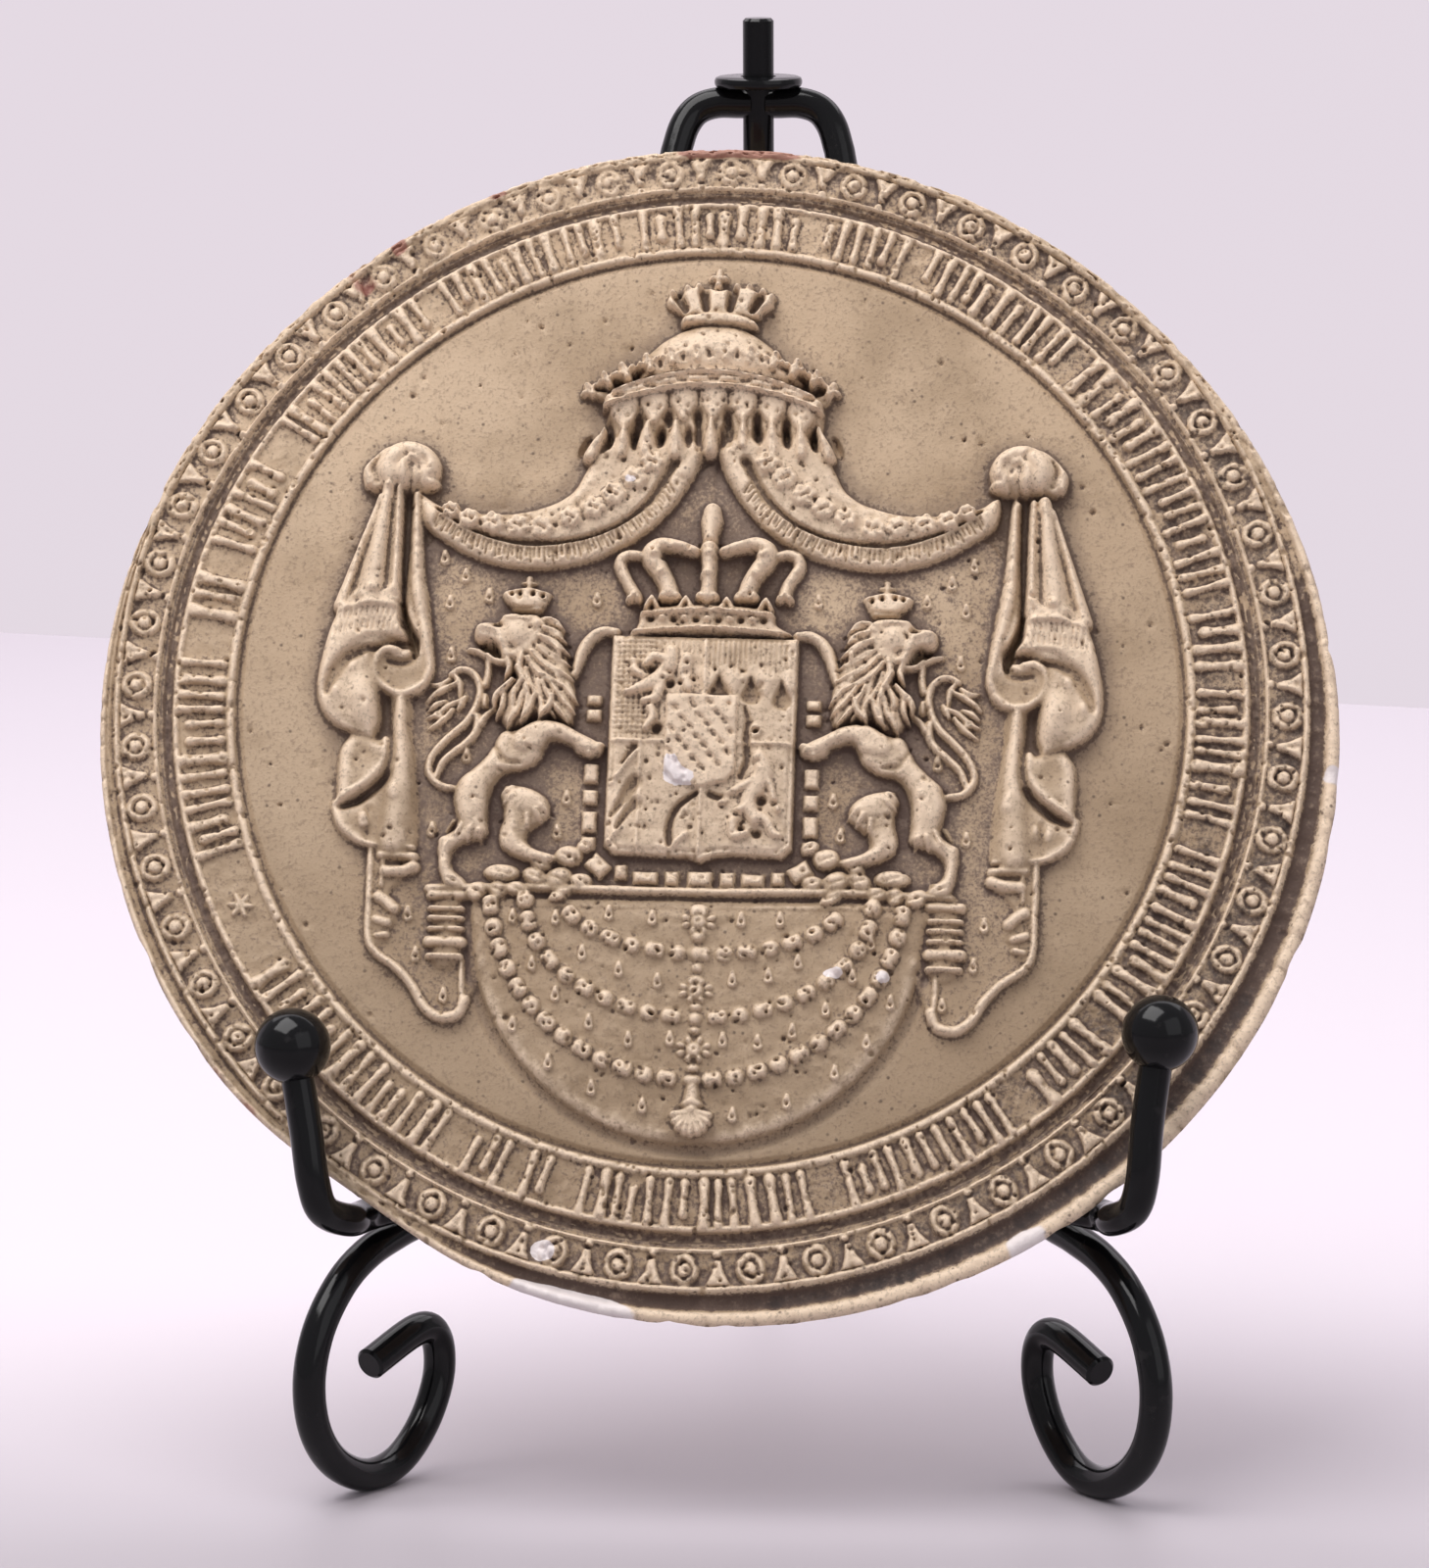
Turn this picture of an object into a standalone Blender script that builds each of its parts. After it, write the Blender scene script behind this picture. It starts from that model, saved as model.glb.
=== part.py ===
# A round cast relief of a coat of arms with its ring of ornament, leaning on a black wire
# easel: two front legs that end in scroll feet, a back leg, and two hooked arms with balls.
# Sizes are in millimetres and become metres where a mesh is made.
import math

import bmesh
import bpy
import numpy as np
from mathutils import Matrix, Vector

MM = 0.001
GAP = 0.3                     # air left between pieces that touch

# The plaque
CAST_LEAN = 22.4              # degrees the plaque leans back from upright
SEAL_HEIGHT = 95.2            # centre of the ring pattern above the table
CAST_THICKNESS = 8.0          # field to flat back
CAST_STEPS = 600              # steps round the turned blank
CAST_FACES = 5880             # triangles left in the cast
OUTLINE_RADIUS = 74.9
OUTLINE_WAVES = ((1, 1.12, -2.53), (2, -0.45, -0.46), (3, 0.18, 0.18), (4, 0.0, 0.23))
FLAT_SPOT = (213.0, 11.0, 1.4)   # clockwise angle, half angle and depth of a worn flat
SIDE_TAPER = 3.2              # how far the side draws in towards the back
FIELD_EDGE = 57.9
LETTER_BAND = (59.3, 65.1)
COVE = 66.6
ORNAMENT_BAND = (68.4, 72.4)
ORNAMENT_COUNT = 56
ORNAMENT_PLACES = (0.3, 0.8)   # rosette and dart, as shares of one repeat
ARMS_TURN = 1.2               # degrees the arms are turned clockwise in the ring

# The easel
WIRE = 2.0                    # radius of the round bar
WIRE_SIDES = 3                # bevel resolution, ten sides
FOOT_FLAT = 0.2               # how much the feet are flattened where they stand
SPREAD_TOP = 10.5
JUNCTION = (4.5, 42.0, 168.2)
KNEE = (3.8, -2.6, 39.0)
KNEE_SPREAD = 33.8
KNEE_EASE = 0.05              # share of the straight run above the knee that starts its bend
SCROLL_CENTRE = (3.7, -12.0, 14.4)
SCROLL_SPREAD = 42.2
SCROLL_TURN = 34.0            # degrees the scrolls swing out from straight ahead
BALL_RADIUS = 4.55
WASHER = (5.65, 1.4, 170.9)   # radius, thickness, height
STUB_TOP = 179.0
BACK_FOOT = (3.9, 98.0)


def clear_scene():
    for thing in list(bpy.data.objects):
        bpy.data.objects.remove(thing, do_unlink=True)


def collection(name):
    made = bpy.data.collections.new(name)
    bpy.context.scene.collection.children.link(made)
    return made


def finish(name, colour, metallic, roughness):
    made = bpy.data.materials.new(name)
    made.use_nodes = True
    shader = made.node_tree.nodes["Principled BSDF"]
    shader.inputs["Base Color"].default_value = (*colour, 1.0)
    shader.inputs["Metallic"].default_value = metallic
    shader.inputs["Roughness"].default_value = roughness
    return made


def smooth_path(points, per_span=6):
    # A curve through the points, with the ends held.
    p = [np.array(q, float) for q in points]
    p = [2 * p[0] - p[1]] + p + [2 * p[-1] - p[-2]]
    out = []
    for i in range(1, len(p) - 2):
        for k in range(per_span):
            t = k / per_span
            a = 2 * p[i]
            b = (p[i + 1] - p[i - 1]) * t
            c = (2 * p[i - 1] - 5 * p[i] + 4 * p[i + 1] - p[i + 2]) * t ** 2
            d = (3 * p[i] - p[i - 1] - 3 * p[i + 1] + p[i + 2]) * t ** 3
            out.append(0.5 * (a + b + c + d))
    out.append(p[-2])
    return out


class Relief:
    # Heights over a set of points on the face, raised figure by figure.
    def __init__(self, across, up):
        self.across = across
        self.up = up
        self.height = np.zeros(len(across))

    def near(self, points, reach):
        pts = np.array(points)
        low = pts.min(0) - reach
        high = pts.max(0) + reach
        inside = (self.across > low[0]) & (self.across < high[0])
        inside &= (self.up > low[1]) & (self.up < high[1])
        return np.nonzero(inside)[0]

    def distance(self, where, path):
        x = self.across[where]
        y = self.up[where]
        best = np.full(len(where), 1e9)
        along = np.zeros(len(where))
        count = len(path) - 1
        for i in range(count):
            ax, ay = path[i]
            dx, dy = path[i + 1][0] - ax, path[i + 1][1] - ay
            t = ((x - ax) * dx + (y - ay) * dy) / max(dx * dx + dy * dy, 1e-9)
            t = np.clip(t, 0, 1)
            d = np.hypot(x - ax - t * dx, y - ay - t * dy)
            closer = d < best
            best = np.where(closer, d, best)
            along = np.where(closer, (i + t) / count, along)
        return best, along

    def raise_to(self, where, level, rise):
        shaped = rise > 0
        where = where[shaped]
        self.height[where] = np.maximum(self.height[where], level + rise[shaped])

    def ridge(self, points, half, rise, level=0.0):
        # A rounded ridge along a curve; half may be a list of half widths.
        path = smooth_path(points, 4)
        halves = np.atleast_1d(np.array(half, float))
        where = self.near(path, halves.max())
        d, along = self.distance(where, path)
        w = np.interp(along, np.linspace(0, 1, len(halves)), halves)
        self.raise_to(where, level, rise * np.sqrt(np.clip(1 - (d / w) ** 2, 0, 1)))

    def groove(self, points, half, depth):
        path = smooth_path(points, 4)
        where = self.near(path, half)
        d, _ = self.distance(where, path)
        self.height[where] -= depth * np.clip(1 - (d / half) ** 2, 0, 1)

    def mound(self, centre, radii, rise, level=0.0, turn=0.0):
        where = self.near([centre], max(radii))
        c, s = math.cos(math.radians(turn)), math.sin(math.radians(turn))
        x = self.across[where] - centre[0]
        y = self.up[where] - centre[1]
        q = ((x * c + y * s) / radii[0]) ** 2 + ((y * c - x * s) / radii[1]) ** 2
        self.raise_to(where, level, rise * np.sqrt(np.clip(1 - q, 0, 1)))

    def plate(self, outline, rise, edge=0.8, level=0.0, per_span=3):
        # A raised area with a rounded edge, inside a smooth closed outline.
        closed = smooth_path(list(outline) + [outline[0]], per_span)
        where = self.near(closed, 0.1)
        d, _ = self.distance(where, closed)
        x, y = self.across[where], self.up[where]
        inside = np.zeros(len(where), bool)
        for (ax, ay), (bx, by) in zip(closed[:-1], closed[1:]):
            if ay == by:
                continue
            crosses = (ay > y) != (by > y)
            inside ^= crosses & (x < (bx - ax) * (y - ay) / (by - ay) + ax)
        swell = np.sqrt(np.clip(1 - (1 - np.minimum(d / edge, 1)) ** 2, 0, 1))
        self.raise_to(where, level, np.where(inside, rise * swell, 0))


def mirrored(points, about=0.0, lift=0.0):
    return [(2 * about - x, y + lift) for x, y in points]


def both(points, about=0.0, lift=0.0):
    return points, mirrored(points, about, lift)


def mantle(relief):
    inner = [(0, 31), (-12, 24), (-34, 21), (-36, 8), (-37, -6), (-40.2, -19), (-40.3, -30),
             (-36, -34.6), (-32.5, -39), (-29.5, -40.8), (-27, -38.5), (-22, -30), (0, -28)]
    for side in both(inner):
        relief.plate(side, 0.5, 0.6)
    hem = [(-40.6, -19), (-40.6, -29), (-39, -32.6), (-35.6, -34.8), (-33.2, -38.2),
           (-31, -40.5), (-28.8, -40.4), (-27.4, -37.5)]
    cone = [(-40.8, 26), (-42.8, 20), (-44.6, 14.5), (-46.4, 9), (-47.9, 3.4), (-47.9, -0.8),
            (-45.6, -4), (-43.8, -0.5), (-44.6, 3.2), (-42, 6), (-38, 7), (-38.6, 15),
            (-38.4, 26)]
    strip = [(-38, 26), (-37.4, 17), (-37.2, 9), (-38.6, 5.5), (-40.6, 4.4), (-39.8, 1.4),
             (-37.2, -0.3), (-34.7, 1), (-34, 5), (-34.6, 12), (-35.8, 20), (-37, 26)]
    flap = [(-43.4, 4.8), (-41.6, 1.8), (-40, -2), (-38.8, -6.6), (-40, -10), (-43, -12),
            (-45, -15), (-45.2, -10), (-44.6, -6), (-46.2, -3.4), (-46.8, 0), (-45.6, 3.6)]
    fall = [(-39.4, -0.8), (-36.6, -0.8), (-35.8, -8), (-34.8, -15), (-34.6, -20),
            (-38.5, -20.2), (-42.4, -18.6), (-44.7, -15.6), (-42.4, -12.8), (-39, -9.4)]
    tail = [(-40, -20), (-35, -20), (-34.3, -22), (-37, -24.2), (-38.3, -26.5), (-37.6, -30),
            (-39.8, -31.5), (-40.2, -26)]
    for outline, rise in ((cone, 3.0), (strip, 2.6), (flap, 1.9), (fall, 2.3), (tail, 1.5)):
        for side in both(outline):
            relief.plate(side, rise, 1.3)
    for side in both(hem):
        relief.ridge(side, 0.7, 1.1)
    for side in both([(-39.6, 24), (-41.2, 16), (-41.8, 10)]):
        relief.groove(side, 0.8, 0.6)
    for side in both([(-42.4, 22), (-44.2, 15), (-45.4, 9)]):
        relief.groove(side, 0.6, 0.5)
    for side, lift in ((-1, 0.0), (1, 1.4)):
        relief.mound((side * 41.4 - 0.8, 28.2 + lift), (2.4, 2.9), 3.0)
        relief.mound((side * 37.4 - 0.8, 29.2 + lift), (3.6, 3.4), 3.8)


def swags(relief):
    for side in (-1, 1):
        def at(x, y):
            return (-0.85 + side * (-x - 0.85), y - (0.035 * x if side > 0 else 0))
        body = [at(*q) for q in ((-1.3, 31.6), (-8, 31.4), (-15.8, 30.6), (-19, 26.2),
                                 (-25, 23.8), (-31, 23.7), (-36.2, 25.2), (-35.6, 21.2),
                                 (-30.5, 17.7), (-23, 15.9), (-15, 17), (-7.5, 22),
                                 (-3.2, 27))]
        relief.plate(body, 2.7, 1.5)
        hem = [at(*q) for q in ((-3, 30.6), (-6.6, 24.8), (-14.5, 19.4), (-23.5, 17.4),
                                (-31.5, 19.8), (-35.4, 22.8))]
        relief.ridge(hem, 1.5, 1.0, 2.3)
        for k in range(10):
            t = k / 9
            x = -7.6 - 25.4 * t
            y = 29.3 - 8.4 * math.sin(math.pi * min(t * 0.78, 1) / 1.25) * 1.02 - 0.4 * t
            relief.mound(at(x, y), (1.5, 1.25), 1.2, 2.3)


def pavilion(relief):
    mid = -0.8
    dome = [(-13, 40), (-10.2, 43.6), (-6, 47), (mid, 48.4), (4.6, 47), (8.6, 43.6),
            (11.8, 40), (12.4, 33), (9, 30), (-10, 30), (-14.6, 33)]
    relief.plate(dome, 3.2, 3.0)
    for start, rise in ((38.1, 3.9), (39.6, 3.7)):
        relief.ridge([(-14.2, start - 0.6), (-8, start + 1.4), (mid, start + 2.1),
                      (6.4, start + 1.4), (12.6, start - 0.6)], 0.8, rise)
    for k in range(12):
        t = (k - 5.5) / 5.5
        relief.mound((mid + 15.6 * t, 44.6 - 4.6 * t * t), (1.25, 1.25), 3.9)
    for k in range(8):
        t = (k - 3.5) / 3.5
        x = mid + 14.2 * t
        relief.ridge([(x, 36.6), (x, 32.4 - 0.8 * t * t)], [0.5, 1.25], 1.3, 2.6)
        relief.ridge([(x - 1.4, 38), (x + 1.4, 38)], 1.1, 1.0, 2.8)
    relief.plate([(-5, 49.6), (-6.9, 51), (-5.4, 53), (mid, 53.5), (4.4, 53), (5.7, 51),
                  (3.8, 49.6), (mid, 50.4)], 2.4, 0.9)
    relief.ridge([(-5, 48.5), (mid, 49.3), (3.6, 48.5)], 0.9, 2.6)
    relief.ridge([(mid, 53), (mid, 55.6)], 0.7, 1.6)


def lion(relief, flip):
    def put(points):
        return mirrored(points, -0.6, 0.4) if flip else points

    body = [(-24, -2.5), (-19.5, -4.6), (-18.4, -6.8), (-20.6, -9.4), (-25, -11),
            (-26.2, -14), (-26.4, -17.6), (-29.8, -19.8), (-30.2, -23.4), (-31.6, -24),
            (-32.2, -20), (-30, -17.4), (-30.8, -14.8), (-30.4, -11.6), (-27.8, -9.6),
            (-25.8, -5.6)]
    leg = [(-24.6, -11.2), (-21.4, -12), (-18.9, -14.4), (-21.4, -17), (-21, -18.9),
           (-17.6, -20.4), (-21.5, -21.2), (-23.6, -19.4), (-24, -16.4), (-25.4, -13.4)]
    mane = [(-22, 9.6), (-18.6, 8), (-17, 3.6), (-16.2, -3), (-20.5, -3.4), (-24.6, -4.6),
            (-26, -0.5), (-24.4, 3.6), (-26, 6)]
    relief.plate(put(body), 2.6, 1.6)
    relief.plate(put(leg), 2.2, 1.3)
    relief.plate(put(mane), 3.0, 1.6)
    relief.ridge(put([(-22.6, -4.4), (-18.4, -4.8), (-14.4, -6.4), (-12.8, -6.8)]),
                 [1.5, 1.3, 1.1], 3.0)
    relief.mound(put([(-23.6, 7.2)])[0], (3.0, 2.7), 3.4)
    relief.mound(put([(-26.8, 7.5)])[0], (2.2, 1.3), 3.0)
    relief.mound(put([(-26.6, 4.8)])[0], (1.5, 0.9), 2.3)
    relief.plate(put([(-25.5, 13.3), (-25, 10.3), (-20.8, 10.3), (-20, 13.2), (-22.7, 13.9)]),
                 2.2, 0.8)
    for drop in (0.0, 3.0, 6.0):
        relief.groove(put([(-24.6 + drop * 0.3, 3 - drop), (-21, 1.6 - drop * 0.8),
                           (-18, 3.6 - drop)]), 0.6, 0.5)
    relief.ridge(put([(-30.6, -12), (-33.4, -11.2), (-33.2, -7.6), (-29.8, -4),
                      (-28.2, -0.6), (-29.4, 2.8), (-31.6, 2.2)]), 0.75, 1.7)
    relief.ridge(put([(-32.8, 0.6), (-31.8, -1.2), (-33.4, -3)]), 0.9, 1.3)


def shield(relief):
    left, right, top, bottom = -12.3, 10.8, 7.6, -20.3
    mid = -0.7
    outline = []
    for x, y in ((left, top), (mid, top), (right, top), (right, -6), (right, -18),
                 (right - 1.6, bottom), (mid + 3, bottom), (mid, bottom - 0.9),
                 (mid - 3, bottom), (left + 1.6, bottom), (left, -18), (left, -6)):
        outline.append((x, y))
    relief.plate(outline, 2.3, 0.7, per_span=1)
    relief.plate([(-5.1, 0), (3.8, 0), (3.8, -9.6), (mid, -11.7), (-5.1, -9.6)], 0.5, 0.4,
                 2.3, per_span=1)
    for x, y, turn in ((-7, 3.2, 40), (6.6, -13, -40)):
        relief.mound((x, y), (3.4, 1.6), 0.7, 2.2, turn)
    for side in both([(-12.6, 7.8), (-14.6, 7.4), (-15.9, 5.4), (-16.2, 3)], mid):
        relief.ridge(side, [1.0, 0.9, 0.6], 2.4)
    relief.plate([(-9.6, 7.8), (-8, 11.4), (mid, 12.2), (7, 11.4), (8.3, 7.8)], 2.9, 0.8)
    relief.ridge([(mid, 12), (mid, 19.6)], [1.2, 0.9, 1.3], 3.0)
    relief.mound((mid, 22.3), (1.6, 2.3), 3.0)
    for side in both([(-5, 12.4), (-5.8, 14.6), (-7.4, 17.2), (-6, 19.1), (-2.4, 18.6)], mid):
        relief.ridge(side, [1.1, 1.2, 1.3, 0.8], 2.6)
    for side in both([(-9.2, 12.4), (-10.8, 14.4), (-11.6, 16.8), (-9.2, 17.9)], mid):
        relief.ridge(side, 0.85, 2.0)
    for row, x in ((-1.2, -14), (-3.4, -14), (-9.8, -14), (-13, -14), (-16.2, -14)):
        for side in both([(x, row)], mid):
            relief.mound(side[0], (1.2, 1.2), 1.6)


def banner(relief):
    mid = -0.3
    outline = [(-27.4, -25), (-20, -24.4), (mid, -26.4), (19.6, -24.4), (26.8, -25)]
    outline += [(mid + 27.6 * math.cos(t), -27.5 - 27.8 * math.sin(t))
                for t in np.linspace(0.06, math.pi - 0.06, 15)]
    relief.plate(outline, 1.3, 0.9)
    rim = [(mid + 26.9 * math.cos(t), -27.5 - 27.2 * math.sin(t))
           for t in np.linspace(0.0, math.pi, 17)]
    relief.ridge(rim, 0.9, 0.5, 1.2)
    ground = [(-31, -25), (-29, -22.6), (-24, -21.6), (-19, -20.6), (-14.6, -18.6),
              (-12.4, -20.4), (-11, -23.6), (-20, -25.4)]
    for side in both(ground, mid):
        relief.plate(side, 1.9, 1.0)
    relief.ridge([(-20, -24.5), (mid, -24.6), (19.4, -24.5)], 0.7, 1.5)
    for k in range(7):
        relief.mound((mid - 9.6 + 3.2 * k, -22.8), (1.35, 1.1), 1.8)
    for reach, depth, count in ((15.5, 6.2, 9), (21.0, 12.9, 15), (25.0, 20.4, 21)):
        for k in range(count):
            t = math.pi * (k + 0.5) / count
            x = mid + reach * math.cos(t)
            y = -26.6 - depth * math.sin(t) ** 0.85
            relief.mound((x, y), (1.35, 1.0), 0.9, 1.2, -35 * math.cos(t))
    relief.ridge([(mid, -27), (mid, -49.5)], 0.9, 0.9, 1.2)
    for y in (-28.4, -36.7, -44.3):
        relief.mound((mid, y), (2.3, 1.7), 1.0, 1.2)
    relief.mound((mid, -52), (2.3, 2.4), 1.3, 1.2)
    for side in both([(-30.8, -25.6), (-30.8, -33)], mid):
        relief.ridge(side, 2.0, 1.9)


def arms_height(across, up):
    c, s = math.cos(math.radians(ARMS_TURN)), math.sin(math.radians(ARMS_TURN))
    relief = Relief(across * c - up * s, across * s + up * c)
    mantle(relief)
    swags(relief)
    pavilion(relief)
    lion(relief, False)
    lion(relief, True)
    shield(relief)
    banner(relief)
    return relief.height


def outline_radius(clock):
    r = OUTLINE_RADIUS + 0 * clock
    for order, sine, cosine in OUTLINE_WAVES:
        r = r + sine * np.sin(order * clock) + cosine * np.cos(order * clock)
    angle, half, depth = FLAT_SPOT
    return r - depth * np.exp(-((np.degrees(clock) % 360 - angle) / half) ** 2)


def ring_profile():
    # Radius and height across the rings, from the field to the ornament band.
    low, high = LETTER_BAND
    inner, outer = ORNAMENT_BAND
    return [(0, 0), (FIELD_EDGE - 0.8, 0), (FIELD_EDGE, -0.5), (FIELD_EDGE + 0.5, 0.7),
            (FIELD_EDGE + 0.9, 0.7), (low, 0.2), (low + 0.6, 0.5), (high - 0.6, 0.5),
            (high, 0.3), (high + 0.3, 0.7), (COVE - 0.8, -0.4), (COVE, -0.7),
            (COVE + 0.6, -0.3), (COVE + 0.9, 0.5), (inner, 0.4), (outer, 0.4),
            (outer + 0.4, 0.9)]


def blank_rows():
    rows = list(np.arange(1.2, FIELD_EDGE - 0.8, 0.62))
    rows += [r for r, _ in ring_profile() if r > FIELD_EDGE - 1]
    rows += list(np.linspace(*ORNAMENT_BAND, 9)[1:-1])
    return sorted(rows)


def make_cast(target):
    rows = blank_rows()
    last = rows[-1]
    rim = [(last + 0.3 * k, 0.0) for k in range(1, 8)]
    side = [(last + 2.4, -2.5), (last + 2.4, -5.5), (last + 2.2, -CAST_THICKNESS)]
    back = [(r, -CAST_THICKNESS) for r in (60, 30, 0)]
    profile = [(0.0, 0.0)] + [(r, 0.0) for r in rows] + rim + side + back
    mesh = bpy.data.meshes.new("cast blank")
    points = [(r * MM, 0.0, z * MM) for r, z in profile]
    mesh.from_pydata(points, [(i, i + 1) for i in range(len(points) - 1)], [])
    blank = bpy.data.objects.new("cast blank", mesh)
    target.objects.link(blank)
    turn = blank.modifiers.new("turn", "SCREW")
    turn.axis = "Z"
    turn.steps = CAST_STEPS
    turn.render_steps = CAST_STEPS
    turn.use_merge_vertices = True
    turn.merge_threshold = 0.0001
    turn.use_normal_calculate = True
    turned = evaluated(blank)
    blank.modifiers.clear()
    blank.data = turned
    carve(turned, last)
    thin = blank.modifiers.new("thin", "DECIMATE")
    turned.calc_loop_triangles()
    thin.ratio = CAST_FACES / len(turned.loop_triangles)
    blank.data = evaluated(blank)
    blank.modifiers.clear()
    return blank


def carve(mesh, last):
    co = np.empty(len(mesh.vertices) * 3)
    mesh.vertices.foreach_get("co", co)
    co = co.reshape(-1, 3) / MM
    radius = np.hypot(co[:, 0], co[:, 1])
    clock = np.arctan2(co[:, 0], co[:, 1])
    edge = outline_radius(clock)
    front = co[:, 2] > -0.1
    pattern = np.array(ring_profile())
    height = np.interp(radius, pattern[:, 0], pattern[:, 1])
    inner = np.minimum(last, edge - 0.9)
    rings = front & (radius > FIELD_EDGE) & (radius <= last + 0.01)
    squeeze = (inner - FIELD_EDGE) / (last - FIELD_EDGE)
    new_radius = np.where(rings, FIELD_EDGE + (radius - FIELD_EDGE) * squeeze, radius)
    # Between the ornament and the outline: a groove that widens where the cast is off centre.
    share = np.clip((radius - last) / 2.1, 0, 1)
    room = edge - inner
    zone = front & (radius > last + 0.01)
    new_radius = np.where(zone, inner + room * share, new_radius)
    open_part = np.clip((room - 1.2) / 2.0, 0, 1)
    groove = np.interp(share, [0, 0.15, 0.5, 0.66, 0.88, 1], [0.9, -0.4, -0.4, 0.9, 0.9, 0.2])
    plain = np.interp(share, [0, 0.5, 1], [0.9, 0.8, 0.2])
    height = np.where(zone, plain + (groove - plain) * open_part, height)
    depth = np.clip(-co[:, 2] / CAST_THICKNESS, 0, 1)
    side = ~front & (radius > 61)
    new_radius = np.where(side, edge - SIDE_TAPER * depth ** 0.8, new_radius)
    scale = new_radius / np.maximum(radius, 1e-6)
    co[:, 0] *= scale
    co[:, 1] *= scale
    radius = new_radius
    arms = np.where(front & (radius < FIELD_EDGE - 0.5), 1, 0)
    height = height + arms * arms_height(co[:, 0], co[:, 1])
    low, high = ORNAMENT_BAND
    turns = clock * ORNAMENT_COUNT / (2 * math.pi)
    part = (turns - np.floor(turns)) * 2 * math.pi / ORNAMENT_COUNT * radius
    pitch = 2 * math.pi / ORNAMENT_COUNT * radius
    mid = (low + high) / 2
    rosette_at, dart_at = ORNAMENT_PLACES
    rosette = np.hypot(part - pitch * rosette_at, radius - mid) / 1.95
    dart = np.abs(part - pitch * dart_at) / (0.35 + 0.95 * (radius - low) / (high - low))
    lump = 0.9 * np.sqrt(np.clip(1 - rosette ** 2, 0, 1)) + 0.7 * np.clip(1 - dart, 0, 1)
    lump *= np.clip((high - radius) / 0.3, 0, 1) * np.clip((radius - low) / 0.3, 0, 1)
    height = height + np.where(front & (radius > low) & (radius < high), lump, 0)
    co[:, 2] = np.where(front, height, co[:, 2])
    mesh.vertices.foreach_set("co", (co * MM).ravel())
    mesh.update()


def evaluated(thing):
    graph = bpy.context.evaluated_depsgraph_get()
    made = bpy.data.meshes.new_from_object(thing.evaluated_get(graph), depsgraph=graph)
    return made


def tidy(mesh):
    made = bmesh.new()
    made.from_mesh(mesh)
    bmesh.ops.remove_doubles(made, verts=made.verts, dist=1e-6)
    bmesh.ops.recalc_face_normals(made, faces=made.faces)
    made.to_mesh(mesh)
    made.free()


def wire(name, points, target, radius=WIRE):
    line = bpy.data.curves.new(name, "CURVE")
    line.dimensions = "3D"
    line.bevel_depth = radius * MM
    line.bevel_resolution = WIRE_SIDES
    line.use_fill_caps = True
    spline = line.splines.new("POLY")
    spline.points.add(len(points) - 1)
    for point, place in zip(spline.points, points):
        point.co = (*(float(c) * MM for c in place), 1.0)
    drawn = bpy.data.objects.new(name + " line", line)
    target.objects.link(drawn)
    bpy.context.view_layer.update()
    mesh = evaluated(drawn)
    bpy.data.objects.remove(drawn, do_unlink=True)
    tidy(mesh)
    made = bpy.data.objects.new(name, mesh)
    target.objects.link(made)
    return made


def cut(thing, cutter):
    step = thing.modifiers.new("cut", "BOOLEAN")
    step.operation = "DIFFERENCE"
    step.solver = "EXACT"
    step.object = cutter
    mesh = evaluated(thing)
    thing.modifiers.clear()
    thing.data = mesh
    tidy(mesh)


def block(name, low, high, target):
    mesh = bpy.data.meshes.new(name)
    made = bmesh.new()
    bmesh.ops.create_cube(made, size=1.0)
    made.to_mesh(mesh)
    made.free()
    thing = bpy.data.objects.new(name, mesh)
    centre = (Vector(low) + Vector(high)) * 0.5 * MM
    size = (Vector(high) - Vector(low)) * MM
    mesh.transform(Matrix.Translation(centre) @ Matrix.Diagonal((*size, 1.0)))
    target.objects.link(thing)
    thing.hide_render = True
    thing.display_type = "WIRE"
    return thing


def scroll_point(side, forward, height):
    # A point in the upright plane of one scroll foot.
    turn = math.radians(SCROLL_TURN)
    x = SCROLL_CENTRE[0] + side * (SCROLL_SPREAD + forward * math.sin(turn))
    return (x, SCROLL_CENTRE[1] - forward * math.cos(turn), SCROLL_CENTRE[2] + height)


def leg_path(side):
    jx, jy, jz = JUNCTION
    kx, ky, kz = KNEE
    start = WIRE + GAP
    bend = [(jx + side * start, jy, jz), (jx + side * 5.4, jy, jz),
            (jx + side * 7.9, jy - 0.2, jz - 0.9), (jx + side * 9.5, jy - 0.9, jz - 3.0),
            (jx + side * SPREAD_TOP, jy - 2.0, jz - 6.2)]
    knee = [(kx + side * KNEE_SPREAD, ky, kz)]
    foot = [(-9.6, 20.0), (-7.0, 17.7), (-2.0, 16.7), (3.9, 15.1), (8.9, 12.2),
            (13.1, 7.2), (14.9, 1.2), (13.9, -4.9), (10.3, -9.6), (4.6, -12.3),
            (-1.4, -11.8), (-6.4, -8.0), (-9.3, -2.6), (-8.9, 2.2), (-5.4, 3.9),
            (3.9, 1.2)]
    lower = [scroll_point(side, p, z) for p, z in foot]
    top = smooth_path(bend, 2)
    above = tuple(k + (t - k) * KNEE_EASE for k, t in zip(knee[0], bend[-1]))
    rest = smooth_path([above] + knee + lower, 2)
    settle = min(point[2] for point in rest) - (WIRE - FOOT_FLAT)
    rest = [point - (0, 0, settle if point[2] < kz - 1 else 0) for point in rest]
    return top + rest


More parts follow.
